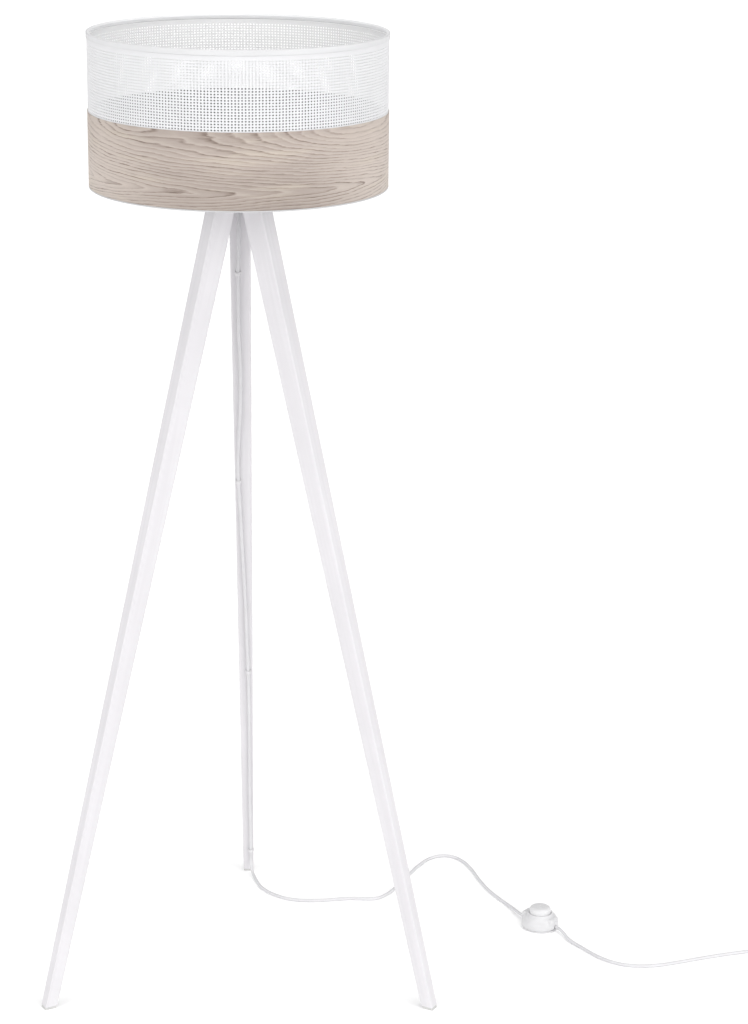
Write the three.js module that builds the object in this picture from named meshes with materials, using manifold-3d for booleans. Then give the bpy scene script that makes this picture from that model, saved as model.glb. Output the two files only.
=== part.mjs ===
// A tripod floor lamp: three tapered wooden legs under a round hub, an E27 lampholder with its bulb, a drum
// shade with an openwork upper band and an oak-veneered lower band, and a mains cord that runs down the rear
// leg to a foot switch and a plug.
// Millimetres, +Z up, the floor at z = 0, the rear leg towards +Y. The origin is under the middle of the
// lamp's own box, and everything hangs in one group that stands on the lamp's vertical axis.
import * as THREE from "three";
import { mergeVertices } from "three/addons/utils/BufferGeometryUtils.js";
import Module from "manifold-3d";

const wasm = await Module();
wasm.setup();

// ---------------------------------------------------------------- driving dimensions
const GAP = 0.3; // between two pieces that touch

// Legs: square in section, drawn as horizontal cuts. The centre line leans in as it rises.
const LEG_ANGLES = { left: 210, right: 330, rear: 90 }; // degrees round the axis from +X
const FOOT_RADIUS = 371.2; // axis to leg centre on the floor
const LEG_LEAN = 0.2531; // radius lost for each millimetre of height
const HEAD_HEIGHT = 1333; // where the head section is stated
const FOOT_SECTION = { radial: 21.3, across: 18.3 };
const HEAD_SECTION = { radial: 37.2, across: 34.5 };
const LEG_CORNER = 0.08; // eased edge, as a part of the section
const LEG_TOP = 1339;
const GLIDE_HEIGHT = 4.2;
const GLIDE_INSET = 0.6;

// Hub: a turned wooden disc that sits on the legs
const HUB_RADIUS = 55;
const HUB_BOTTOM = 1335;
const HUB_TOP = 1353;
const HUB_EDGE = 2.5;
const SCREW_RADIUS = 31; // axis to each leg screw
const SCREW = { shank: 3.9, head: 7.6, headHeight: 4.2, length: 54, socket: 2.5 };
const INSERT = { radius: 6, length: 20 };

// Threaded tube through the hub, M10
const TUBE = { bore: 4, radius: 5, bottom: 1327, top: 1360.5 };
const WASHER = { radius: 10, height: 1.5 };
const NUT = { acrossFlats: 14, height: 4 };

// Lampholder
const HOLDER_BASE = HUB_TOP + GAP;
const CAP_HEIGHT = 14;
const SHOULDER_TOP = 1379; // the shade's ring rests here
const HOLDER_TOP = 1404;
const HOLDER_THREAD_RADIUS = 19.8;
const SOCKET_RADIUS = 14.6;
const RING_NUT = { inner: 20.3, outer: 26, height: 7.4, grips: 24, gripDepth: 0.6 };

// Bulb: opal globe of 45 mm on an E27 cap
const BULB_TIP = 1382.6;
const BULB_LENGTH = 70;
const BULB_THREAD = { radius: 13, root: 12.3, pitch: 3.63 };
const BULB_SHOULDER = 1406.3;
const GLOBE = { radius: 22.5, wall: 1.2, seat: 1421 };

// Shade
const SHADE_RADIUS = 240;
const SHADE_BOTTOM = 1368;
const SHADE_JOIN = 1490; // where the veneer ends and the openwork shows
const SHADE_TOP = 1614;
const SKIN = 0.8; // veneer, liner and openwork sheet
const LIP_DROP = 2; // the liner's lip starts this far below its step
const JOIN_OVERLAP = 9; // openwork that is glued behind the veneer
const TAPE = { bottom: 2.4, top: 9, inside: 6, wall: 0.8, depth: 6.4 };
const WIRE_RADIUS = 1.5;
const CENTRE_RING = { inner: 20.3, outer: 25, thickness: 2 };
const SPOKE_RADIUS = 1.6;
const SPOKE_ANGLES = [90, 210, 330];

// Mains cord
const CORD_RADIUS = 2.8;
const CORD_SIDES = 8;
// Down the inner face of the rear leg: across the leg, then height.
const LEG_CORD = [
  [-3, 1240], [-4, 1215], [-4, 1168], [-4, 1108], [-2, 1050], [-2.5, 985], [-4, 950], [-7, 905],
  [-8.5, 862], [-8, 830], [-6, 784], [-3, 700], [1, 594], [3, 500], [4.5, 445], [5, 384],
  [5, 275], [4.5, 165], [5, 90], [5, 50], [5, 40],
];
const CLIP_HEIGHTS = [1215, 830, 445, 50];
const CLIP = { wall: 0.9, length: 6, pad: 1, padSide: 1.8 };
// Where the next length of cord takes over near the foot: across the leg, then height.
const FOOT_CORD = [[5, 39.7], [5, 28.5]];
// Then across the floor to the foot switch: x, y, z from the axis.
const FLOOR_CORD_A = [
  [5.8, 346.6, 15.5], [8.5, 337.5, 7], [12, 326, 4], [17, 308, 3.1], [29, 277, 2.9],
  [58, 244, 2.9], [88, 228.5, 2.9], [119, 225, 2.9], [152, 228, 2.9], [178, 232.5, 2.9], [200, 234, 2.9],
  [222, 232.5, 2.9], [240, 235, 2.9], [256, 249, 2.9], [275, 280, 2.9], [303, 340, 2.9], [325, 384, 2.9],
  [347, 413, 2.9], [368, 423.5, 2.9], [388, 419, 2.9], [404, 402, 2.9], [418, 372, 2.9], [434, 314, 2.9],
  [448, 272, 2.9], [463, 240, 2.9], [480, 207, 3.6], [487.5, 189, 5.6], [492.5, 175, 7.4],
  [498, 161.5, 8.4], [504.5, 151, 8.5], [510.9, 145.6, 8.5], [517.3, 140.2, 8.5], [523.8, 134.8, 8.5],
];
// From the foot switch to the coil, which lies past the end of the laid-out stretch.
const FLOOR_CORD_B = [
  [541.2, 120.2, 8.5], [547.7, 114.8, 8.5], [554.1, 109.4, 8.5], [560.5, 104, 8.5],
  [566.5, 94.5, 8.3], [572, 82, 7], [578.5, 66, 4.9], [588, 51, 3.2], [600, 34.5, 2.9], [611, 18, 2.9],
  [633, -9, 2.9], [655, -26, 2.9],
  [678, -35, 2.9], [703, -37, 2.9], [731, -33, 2.9], [765, -22, 2.9], [806, -7, 2.9],
  [850, 8, 2.9], [894, 20.4, 2.9], [914, 25, 3.1], [930, 27.6, 3.4],
];
const COIL = { x: 952, y: 62, radius: 31, turnsAcross: 2, turnsHigh: 2, lift: 0.9 };
const TIE = { wall: 0.6, width: 7, angle: 120 };
const TAIL = [[986.6, 83.4, 7.4], [987.6, 90, 6.9], [988.4, 97, 6.85], [988.8, 104, 6.85]];

// Foot switch, turned so that its cord runs through it
const SWITCH = { x: 532.5, y: 127.5, turn: -40 };
const SWITCH_RADIUS = 31;
const SWITCH_BASE = 3;
const SWITCH_TOP = 28;
const SWITCH_WALL = 2.2;
const EAR = { reach: 34.5, width: 18, top: 22 };
const CORD_HEIGHT = 8.5; // where the cord enters the switch
const BUTTON = { radius: 19.4, flange: 21.6, flangeBottom: 20.5, flangeTop: 23.4, top: 38, wall: 2.4 };
const MECHANISM = { length: 22, width: 16, top: 15.5 };
const SPRING = { radius: 5, wire: 0.6, turns: 4 };
const SWITCH_SCREW = { radius: 1.4, head: 2.7, headHeight: 1.2, length: 10, offset: 25.5, postTop: 19 };

// Plug: flat two-pin, lying beside the coil and pointing away from it
const PLUG = { x: 988.8, reliefStart: 104.3, reliefLength: 24, length: 36, width: 26, height: 13.7 };
const PIN = { radius: 2, length: 19, spacing: 18.6 };

// The box runs from the front of the shade to the back of the rear foot, so the axis is off its middle.
const REAR_REACH = FOOT_RADIUS + FOOT_SECTION.radial / 2 - GLIDE_INSET;
const AXIS_Y = (SHADE_RADIUS - REAR_REACH) / 2;

// ---------------------------------------------------------------- materials
function material(color, roughness, metalness = 0) {
  return new THREE.MeshStandardMaterial({ color, roughness, metalness });
}

const whitePaint = material(0xf1eff2, 0.45);
const whiteOpenwork = material(0xf0f0f2, 0.7);
const oakVeneer = material(0xc2b6ad, 0.6);
const greyLiner = material(0x8f8f91, 0.6);
const whiteInsert = material(0xe9e9ea, 0.6);
const rimTape = material(0xdcdbdb, 0.7);
const whiteWire = material(0xe6e6e6, 0.4, 0.2);
const whitePlastic = material(0xf2f2f2, 0.35);
const whiteCord = material(0xe8e8e8, 0.5);
const nylon = material(0xd9d9d8, 0.6);
const zincSteel = material(0xb9bcbf, 0.35, 0.9);
const brass = material(0xc8a55a, 0.3, 0.9);
const opal = material(0xfafaf7, 0.3);
const bakelite = material(0x34302e, 0.5);

// ---------------------------------------------------------------- shape helpers
const radians = THREE.MathUtils.degToRad;

function signedVolume(positions, index) {
  const corner = [new THREE.Vector3(), new THREE.Vector3(), new THREE.Vector3()];
  let sum = 0;
  for (let i = 0; i < index.length; i += 3) {
    corner.forEach((point, k) => point.fromArray(positions, index[i + k] * 3));
    sum += corner[0].dot(corner[1].clone().cross(corner[2]));
  }
  return sum / 6;
}

// The same shape with shared vertices only, without zero-area faces, and with its faces pointing out.
function welded(geometry) {
  const bare = geometry.index ? geometry.toNonIndexed() : geometry.clone();
  bare.deleteAttribute("normal");
  bare.deleteAttribute("uv");
  const merged = mergeVertices(bare, 1e-3);
  const kept = [];
  const all = merged.index.array;
  for (let i = 0; i < all.length; i += 3) {
    const [a, b, c] = [all[i], all[i + 1], all[i + 2]];
    if (a !== b && b !== c && c !== a) kept.push(a, b, c);
  }
  if (signedVolume(merged.attributes.position.array, kept) < 0) kept.reverse();
  merged.setIndex(kept);
  merged.computeVertexNormals();
  return merged;
}

function toSolid(geometry) {
  const shape = welded(geometry);
  return new wasm.Manifold(
    new wasm.Mesh({
      numProp: 3,
      vertProperties: new Float32Array(shape.attributes.position.array),
      triVerts: new Uint32Array(shape.index.array),
    }),
  );
}

function toGeometry(solid) {
  const mesh = solid.getMesh();
  const geometry = new THREE.BufferGeometry();
  geometry.setAttribute("position", new THREE.BufferAttribute(mesh.vertProperties, mesh.numProp));
  geometry.setIndex(new THREE.BufferAttribute(mesh.triVerts, 1));
  geometry.computeVertexNormals();
  return geometry;
}

function cut(body, ...tools) {
  return toGeometry(tools.reduce((left, tool) => left.subtract(toSolid(tool)), toSolid(body)));
}

function join(first, ...others) {
  return toGeometry(others.reduce((sum, other) => sum.add(toSolid(other)), toSolid(first)));
}

// A body turned about Z from [radius, height] pairs.
// The outline starts and ends on the axis or closes on itself.
function turned(outline, segments = 28) {
  const points = outline.map(([radius, height]) => new THREE.Vector2(radius, height));
  if (outline[0][0] > 0) points.push(points[0].clone());
  return welded(new THREE.LatheGeometry(points, segments).rotateX(Math.PI / 2));
}

// A tube wall with square edges.
function sleeve(inner, outer, bottom, top, segments = 32) {
  return turned([[inner, bottom], [outer, bottom], [outer, top], [inner, top]], segments);
}

function rod(radius, bottom, top, segments = 16) {
  return turned([[0, bottom], [radius, bottom], [radius, top], [0, top]], segments);
}

// A flat outline pushed up from bottom to top.
function plate(shape, bottom, top, curveSegments = 12) {
  const options = { depth: top - bottom, bevelEnabled: false, curveSegments };
  return welded(new THREE.ExtrudeGeometry(shape, options).translate(0, 0, bottom));
}

function polygon(sides, radius, startAngle = 0) {
  const corners = [];
  for (let i = 0; i < sides; i += 1) {
    const angle = startAngle + (i / sides) * 2 * Math.PI;
    corners.push(new THREE.Vector2(radius * Math.cos(angle), radius * Math.sin(angle)));
  }
  return corners;
}

// A round section swept along a smooth curve through the points.
function swept(points, radius, steps, sides = CORD_SIDES) {
  const path = new THREE.CatmullRomCurve3(points, false, "centripetal");
  const section = new THREE.Shape(polygon(sides, radius));
  return welded(new THREE.ExtrudeGeometry(section, { steps, extrudePath: path }));
}

function vectors(rows) {
  return rows.map(([x, y, z]) => new THREE.Vector3(x, y, z));
}

function roundedRectangle(width, height, corner) {
  const [x, y] = [width / 2, height / 2];
  const shape = new THREE.Shape();
  shape.moveTo(-x + corner, -y);
  shape.lineTo(x - corner, -y);
  shape.absarc(x - corner, -y + corner, corner, -Math.PI / 2, 0);
  shape.lineTo(x, y - corner);
  shape.absarc(x - corner, y - corner, corner, 0, Math.PI / 2);
  shape.lineTo(-x + corner, y);
  shape.absarc(-x + corner, y - corner, corner, Math.PI / 2, Math.PI);
  shape.lineTo(-x, -y + corner);
  shape.absarc(-x + corner, -y + corner, corner, Math.PI, 1.5 * Math.PI);
  return shape;
}

function box(width, depth, bottom, top) {
  return new THREE.BoxGeometry(width, depth, top - bottom).translate(0, 0, (top + bottom) / 2);
}

const lamp = new THREE.Group();
lamp.position.set(0, AXIS_Y, 0);

function add(name, geometry, finish, parent = lamp) {
  const mesh = new THREE.Mesh(geometry, finish);
  mesh.name = name;
  parent.add(mesh);
  return mesh;
}

// ---------------------------------------------------------------- legs, glides and hub
function legCentre(height) {
  return FOOT_RADIUS - LEG_LEAN * height;
}

function legSection(height) {
  const part = height / HEAD_HEIGHT;
  return {
    radial: THREE.MathUtils.lerp(FOOT_SECTION.radial, HEAD_SECTION.radial, part),
    across: THREE.MathUtils.lerp(FOOT_SECTION.across, HEAD_SECTION.across, part),
  };
}

// A stretch of leg with its radial direction along +X, grown or shrunk all round.
function legStretch(bottom, top, growth = 0) {
  const geometry = plate(roundedRectangle(1, 1, LEG_CORNER), bottom, top, 3);
  const position = geometry.attributes.position;
  for (let i = 0; i < position.count; i += 1) {
    const height = position.getZ(i);
    const section = legSection(height);
    const radial = position.getX(i) * (section.radial + 2 * growth);
    const across = position.getY(i) * (section.across + 2 * growth);
    position.setXYZ(i, legCentre(height) + radial, across, height);
  }
  return geometry;
}

function legScrew() {
  const top = HUB_TOP;
  const neck = top - SCREW.headHeight;
  const outline = [
    [0, top - SCREW.length], [SCREW.shank - 0.8, top - SCREW.length], [SCREW.shank, top - SCREW.length + 1],
    [SCREW.shank, neck], [SCREW.head, top - 0.6], [SCREW.head, top], [0, top],
  ];
  const socket = plate(new THREE.Shape(polygon(6, SCREW.socket / Math.cos(Math.PI / 6))), top - 3, top + 1);
  return cut(turned(outline, 20), socket).translate(SCREW_RADIUS, 0, 0);
}

function buildLegs() {
  const insertTop = LEG_TOP - GAP;
  const insertBottom = insertTop - INSERT.length;
  const holes = [
    rod(INSERT.radius + GAP, insertBottom - GAP, LEG_TOP + 1).translate(SCREW_RADIUS, 0, 0),
    rod(SCREW.shank + GAP, HUB_TOP - SCREW.length - 2, LEG_TOP).translate(SCREW_RADIUS, 0, 0),
  ];
  for (const [side, angle] of Object.entries(LEG_ANGLES)) {
    const arm = new THREE.Group();
    arm.rotation.z = radians(angle);
    lamp.add(arm);
    add(`leg_${side}`, cut(legStretch(GLIDE_HEIGHT + GAP, LEG_TOP), ...holes), whitePaint, arm);
    add(`foot_glide_${side}`, legStretch(0, GLIDE_HEIGHT, -GLIDE_INSET), nylon, arm);
    const insert = sleeve(SCREW.shank + GAP, INSERT.radius, insertBottom, insertTop, 20);
    add(`leg_insert_${side}`, insert.translate(SCREW_RADIUS, 0, 0), brass, arm);
    add(`leg_screw_${side}`, legScrew(), zincSteel, arm);
  }
}

function buildHub() {
  const disc = turned([
    [0, HUB_BOTTOM], [HUB_RADIUS - HUB_EDGE, HUB_BOTTOM], [HUB_RADIUS, HUB_BOTTOM + HUB_EDGE],
    [HUB_RADIUS, HUB_TOP - HUB_EDGE], [HUB_RADIUS - HUB_EDGE, HUB_TOP], [0, HUB_TOP],
  ], 40);
  const holes = [rod(TUBE.radius + GAP, HUB_BOTTOM - 1, HUB_TOP + 1)];
  for (const angle of Object.values(LEG_ANGLES)) {
    // a pocket for the leg's end, and a countersunk hole for its screw
    const pocket = legStretch(HUB_BOTTOM - 5, LEG_TOP + GAP, GAP);
    const neck = HUB_TOP - SCREW.headHeight;
    const screwHole = turned([
      [0, HUB_BOTTOM - 1], [SCREW.shank + GAP, HUB_BOTTOM - 1], [SCREW.shank + GAP, neck - GAP],
      [SCREW.head + GAP, HUB_TOP - 0.6 - GAP], [SCREW.head + GAP, HUB_TOP + 1], [0, HUB_TOP + 1],
    ], 20).translate(SCREW_RADIUS, 0, 0);
    holes.push(pocket.rotateZ(radians(angle)), screwHole.rotateZ(radians(angle)));
  }
  add("hub_disc", cut(disc, ...holes), whitePaint);
}

// ---------------------------------------------------------------- threaded tube and lampholder
function buildTube() {
  add("threaded_tube", sleeve(TUBE.bore, TUBE.radius, TUBE.bottom, TUBE.top, 24), zincSteel);
  const washerTop = HUB_BOTTOM - GAP;
  const washerBottom = washerTop - WASHER.height;
  add("tube_washer", sleeve(TUBE.radius + GAP, WASHER.radius, washerBottom, washerTop, 24), zincSteel);
  const nutTop = washerBottom - GAP;
  const corners = polygon(6, NUT.acrossFlats / 2 / Math.cos(Math.PI / 6));
  const hexagon = plate(new THREE.Shape(corners), nutTop - NUT.height, nutTop);
  const hole = rod(TUBE.radius + GAP, nutTop - NUT.height - 1, nutTop + 1, 24);
  add("tube_nut", cut(hexagon, hole), zincSteel);
}

function buildLampholder() {
  const capTop = HOLDER_BASE + CAP_HEIGHT;
  const bore = TUBE.radius + GAP;
  add("lampholder_cap", turned([
    [bore, HOLDER_BASE], [17, HOLDER_BASE], [19.6, HOLDER_BASE + 2.6], [20.4, capTop], [17.8, capTop],
    [17, HOLDER_BASE + 5], [15.5, HOLDER_BASE + 3.2], [8.5, HOLDER_BASE + 3.2],
    [8.5, TUBE.top], [bore, TUBE.top],
  ]), whitePlastic);
  const skirtBottom = capTop + GAP;
  const floorTop = SHOULDER_TOP - 1.5;
  add("lampholder_body", turned([
    [17.8, skirtBottom], [20.6, skirtBottom], [20.6, SHOULDER_TOP - 3], [24, SHOULDER_TOP - 2.4],
    [24, SHOULDER_TOP], [HOLDER_THREAD_RADIUS, SHOULDER_TOP], [HOLDER_THREAD_RADIUS, HOLDER_TOP - 1],
    [HOLDER_THREAD_RADIUS - 1, HOLDER_TOP], [SOCKET_RADIUS, HOLDER_TOP], [SOCKET_RADIUS, floorTop],
    [6, floorTop], [6, floorTop - 3], [17.8, floorTop - 3],
  ]), whitePlastic);
  const coreTop = floorTop - 3 - GAP;
  add("lampholder_core", rod(14.5, TUBE.top + 2.5, coreTop, 24), whiteInsert);

  // the centre contact: a bent brass tongue through the socket's floor
  const tongue = new THREE.Shape();
  tongue.moveTo(-3.4, coreTop + GAP);
  tongue.lineTo(-2.6, coreTop + GAP);
  tongue.lineTo(-2.6, SHOULDER_TOP + 0.6);
  tongue.lineTo(2, BULB_TIP - 1);
  tongue.lineTo(4.2, BULB_TIP - 1);
  tongue.lineTo(4.2, BULB_TIP - GAP);
  tongue.lineTo(1.8, BULB_TIP - GAP);
  tongue.lineTo(-3.4, SHOULDER_TOP + 1.1);
  const strip = new THREE.ExtrudeGeometry(tongue, { depth: 5, bevelEnabled: false });
  add("centre_contact", welded(strip.translate(0, 0, -2.5).rotateX(Math.PI / 2)), brass);
  const inside = SOCKET_RADIUS - 0.7;
  const sideStrip = box(0.6, 4, floorTop + GAP, floorTop + 13).translate(inside - 0.3, 0, 0);
  add("side_contact", sideStrip, brass);
}

function buildRingNut() {
  const bottom = SHOULDER_TOP + GAP + CENTRE_RING.thickness + GAP;
  const outline = [];
  const steps = RING_NUT.grips * 4;
  for (let i = 0; i < steps; i += 1) {
    const angle = (i / steps) * 2 * Math.PI;
    const radius = RING_NUT.outer + (i % 4 < 2 ? 0 : -RING_NUT.gripDepth);
    outline.push(new THREE.Vector2(radius * Math.cos(angle), radius * Math.sin(angle)));
  }
  const hole = rod(RING_NUT.inner, bottom - 1, bottom + RING_NUT.height + 1, 32);
  const blank = plate(new THREE.Shape(outline), bottom, bottom + RING_NUT.height);
  add("shade_ring_nut", cut(blank, hole), whitePlastic);
}

// ---------------------------------------------------------------- bulb
function buildBulb() {
  add("bulb_contact", turned([
    [0, BULB_TIP], [3.6, BULB_TIP], [4.9, BULB_TIP + 1.3], [4.9, BULB_TIP + 3.2], [0, BULB_TIP + 3.2],
  ], 24), bakelite);

  const threadStart = BULB_TIP + 6;
  const shell = [[5.2, BULB_TIP + 2.2], [9, BULB_TIP + 2.2], [BULB_THREAD.root, threadStart - 1.4]];
  for (let turn = 0; turn < 4; turn += 1) {
    const foot = threadStart + turn * BULB_THREAD.pitch;
    shell.push([BULB_THREAD.radius, foot], [BULB_THREAD.root, foot + BULB_THREAD.pitch / 2]);
  }
  shell.push([BULB_THREAD.radius, BULB_SHOULDER - 1.5], [BULB_THREAD.radius, BULB_SHOULDER - GAP]);
  shell.push([11.7, BULB_SHOULDER - GAP], [11.7, threadStart - 1]);
  shell.push([8.6, BULB_TIP + 3.5], [5.2, BULB_TIP + 3.5]);
  add("bulb_screw_cap", turned(shell), zincSteel);

  const seat = GLOBE.seat - GAP;
  add("bulb_base", turned([
    [0, threadStart], [11.3, threadStart], [11.3, BULB_SHOULDER], [13.6, BULB_SHOULDER],
    [15.2, BULB_SHOULDER + 5], [19.4, seat - 3], [20.2, seat], [0, seat],
  ]), whitePlastic);

  // an open-bottomed opal dome on the base
  const centre = BULB_TIP + BULB_LENGTH - GLOBE.radius;
  const arc = (radius, from, to) => {
    const points = [];
    for (let i = 0; i <= 7; i += 1) {
      const angle = THREE.MathUtils.lerp(from, to, i / 7);
      points.push([Math.max(0, radius * Math.cos(angle)), centre + radius * Math.sin(angle)]);
    }
    return points;
  };
  const inner = GLOBE.radius - GLOBE.wall;
  const rim = (radius) => Math.asin((GLOBE.seat - centre) / radius);
  const outside = arc(GLOBE.radius, rim(GLOBE.radius), Math.PI / 2);
  const outline = [...outside, ...arc(inner, Math.PI / 2, rim(inner))];
  outline.push(outline[0]);
  const points = outline.map(([radius, height]) => new THREE.Vector2(radius, height));
  add("bulb_globe", welded(new THREE.LatheGeometry(points, 28).rotateX(Math.PI / 2)), opal);
}

// ---------------------------------------------------------------- shade
const RING_SEGMENTS = 48;

// Tape folded over a wire: a U-shaped ring, open upwards at the bottom rim and downwards at the top rim.
function foldedTape(outer, edge, height) {
  const way = Math.sign(height);
  const fold = edge + way * TAPE.wall;
  const inside = edge + way * TAPE.inside;
  const inner = outer - TAPE.depth;
  return turned([
    [outer, edge], [outer, edge + height], [outer - TAPE.wall, edge + height], [outer - TAPE.wall, fold],
    [inner + TAPE.wall, fold], [inner + TAPE.wall, inside], [inner, inside], [inner, edge],
  ], RING_SEGMENTS);
}

function wireRing(radius, height) {
  const section = polygon(6, WIRE_RADIUS).map((point) => [radius + point.x, height + point.y]);
  return turned(section, RING_SEGMENTS);
}

function buildShade() {
  const sheetOuter = SHADE_RADIUS - SKIN - GAP;
  const sheetInner = sheetOuter - SKIN;
  const veneerBottom = SHADE_BOTTOM + TAPE.bottom + GAP;
  const step = SHADE_JOIN - JOIN_OVERLAP - GAP;
  const lipOuter = sheetInner - GAP;
  const lipInner = lipOuter - SKIN;
  const openworkTop = SHADE_TOP - TAPE.top - GAP;
  const ring = (inner, outer, bottom, top) => sleeve(inner, outer, bottom, top, RING_SEGMENTS);
  add("veneer_band", ring(SHADE_RADIUS - SKIN, SHADE_RADIUS, veneerBottom, SHADE_JOIN), oakVeneer);
  // The liner steps inwards near its top, over the openwork sheet's lower edge.
  add("veneer_liner", turned([
    [sheetInner, veneerBottom], [sheetOuter, veneerBottom],
    [sheetOuter, step], [lipOuter, step],
    [lipOuter, SHADE_JOIN], [lipInner, SHADE_JOIN],
    [lipInner, step - LIP_DROP], [sheetInner, step - LIP_DROP],
  ], RING_SEGMENTS), greyLiner);
  add("openwork_band", ring(sheetInner, sheetOuter, SHADE_JOIN - JOIN_OVERLAP, openworkTop), whiteOpenwork);
  add("rim_tape_bottom", foldedTape(SHADE_RADIUS, SHADE_BOTTOM, TAPE.bottom), rimTape);
  add("rim_tape_top", foldedTape(SHADE_RADIUS, SHADE_TOP, -TAPE.top), rimTape);
  const wireAt = sheetInner - GAP - WIRE_RADIUS;
  const lift = TAPE.wall + GAP + WIRE_RADIUS;
  add("ring_wire_bottom", wireRing(wireAt, SHADE_BOTTOM + lift), whiteWire);
  add("ring_wire_top", wireRing(wireAt, SHADE_TOP - lift), whiteWire);

  const ringBottom = SHOULDER_TOP + GAP;
  const ringTop = ringBottom + CENTRE_RING.thickness;
  add("centre_ring", sleeve(CENTRE_RING.inner, CENTRE_RING.outer, ringBottom, ringTop), whiteWire);
  const inner = new THREE.Vector3(CENTRE_RING.outer + GAP, 0, ringTop - SPOKE_RADIUS);
  const outer = new THREE.Vector3(SHADE_RADIUS - TAPE.depth - GAP - 0.2, 0, SHADE_BOTTOM + lift);
  const length = inner.distanceTo(outer);
  SPOKE_ANGLES.forEach((angle, i) => {
    const spoke = new THREE.CylinderGeometry(SPOKE_RADIUS, SPOKE_RADIUS, length, 8);
    const direction = outer.clone().sub(inner).normalize();
    spoke.applyQuaternion(new THREE.Quaternion().setFromUnitVectors(new THREE.Vector3(0, 1, 0), direction));
    const middle = inner.clone().lerp(outer, 0.5);
    spoke.translate(middle.x, middle.y, middle.z).rotateZ(radians(angle));
    add(`shade_spoke_${i + 1}`, spoke, whiteWire);
  });
}

// ---------------------------------------------------------------- cord down the rear leg
function innerFace(height) {
  return legCentre(height) - legSection(height).radial / 2;
}

// The inner face of the rear leg looks towards the axis and slightly down.
const FACE_LEAN = (innerFace(0) - innerFace(HEAD_HEIGHT)) / HEAD_HEIGHT;
const FACE_NORMAL = new THREE.Vector3(0, -1, -FACE_LEAN).normalize();

function onRearLeg(across, height, clear) {
  return new THREE.Vector3(across, innerFace(height), height).addScaledVector(FACE_NORMAL, clear);
}

function buildLegCord() {
  const clear = CORD_RADIUS + GAP;
  const fromHolder = vectors([
    [0, 0, TUBE.top + 1.8], [0, 0, TUBE.top - 10], [0, 0, TUBE.bottom + 8], [0, 0, TUBE.bottom],
    [-0.6, 2, 1312], [-1.2, 9.5, 1293], [-2, 21, 1267],
  ]);
  const downLeg = LEG_CORD.map(([across, height]) => onRearLeg(across, height, clear));
  add("cord_leg", swept([...fromHolder, ...downLeg], CORD_RADIUS, 72), whiteCord);
}

// An adhesive clip: a pad on the leg with an arch over the cord.
function buildClip(height, i) {
  const across = swingAt(height);
  const inside = CORD_RADIUS + GAP;
  const outside = inside + CLIP.wall;
  const half = outside + CLIP.padSide;
  const shape = new THREE.Shape();
  shape.moveTo(inside, 0);
  shape.lineTo(half, 0);
  shape.lineTo(half, CLIP.pad);
  shape.lineTo(outside, CLIP.pad);
  shape.lineTo(outside, inside);
  shape.absarc(0, inside, outside, 0, Math.PI);
  shape.lineTo(-outside, CLIP.pad);
  shape.lineTo(-half, CLIP.pad);
  shape.lineTo(-half, 0);
  shape.lineTo(-inside, 0);
  shape.lineTo(-inside, inside);
  shape.absarc(0, inside, inside, Math.PI, 0, true);
  const geometry = plate(shape, -CLIP.length / 2, CLIP.length / 2, 8);
  const acrossLeg = new THREE.Vector3(1, 0, 0);
  const downLeg = acrossLeg.clone().cross(FACE_NORMAL);
  const place = new THREE.Matrix4().makeBasis(acrossLeg, FACE_NORMAL, downLeg);
  place.setPosition(onRearLeg(across, height, GAP));
  add(`cord_clip_${i + 1}`, geometry.applyMatrix4(place), whitePlastic);
}

function swingAt(height) {
  return LEG_CORD.find(([, level]) => level === height)[0];
}

// ---------------------------------------------------------------- foot switch
function switchOutline(radius, reach, width) {
  const half = width / 2;
  const angle = Math.asin(half / radius);
  const shape = new THREE.Shape();
  shape.moveTo(reach, -half);
  shape.lineTo(reach, half);
  shape.absarc(0, 0, radius, angle, Math.PI - angle);
  shape.lineTo(-reach, half);
  shape.lineTo(-reach, -half);
  shape.absarc(0, 0, radius, Math.PI + angle, 2 * Math.PI - angle);
  return shape;
}

function alongX(geometry) {
  return geometry.rotateY(Math.PI / 2);
}

function switchHousing() {
  const bottom = SWITCH_BASE + GAP;
  const wall = SWITCH_WALL;
  const dome = (shrink, from, top) => turned([
    [0, from], [SWITCH_RADIUS - shrink, from], [SWITCH_RADIUS + 0.4 - shrink, 10], [30.6 - shrink, 16],
    [28.4 - shrink, 21.5 - shrink / 2], [24.8 - shrink / 2, top - 1.8], [22, top], [0, top],
  ], 36);
  const ears = (shrink, from, top) => box(2 * (EAR.reach - shrink), EAR.width - 2 * shrink, from, top);
  const outside = join(dome(0, bottom, SWITCH_TOP), ears(0, bottom, EAR.top));
  const domeInside = dome(wall, bottom - 1, SWITCH_TOP - wall - 1.5);
  const hollow = join(domeInside, ears(wall, bottom - 1, EAR.top - wall));
  const opening = rod(BUTTON.radius + GAP + 0.1, 0, SWITCH_TOP + 1, 40);
  const cordHole = alongX(rod(CORD_RADIUS + GAP, -EAR.reach - 1, EAR.reach + 1));
  cordHole.translate(0, 0, CORD_HEIGHT);
  const shell = cut(outside, hollow, opening, cordHole);
  const posts = [-1, 1].map((side) => {
    const post = sleeve(SWITCH_SCREW.radius + GAP, 3.2, bottom, SWITCH_SCREW.postTop, 16);
    return post.translate(0, side * SWITCH_SCREW.offset, 0);
  });
  return join(shell, ...posts);
}

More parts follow.
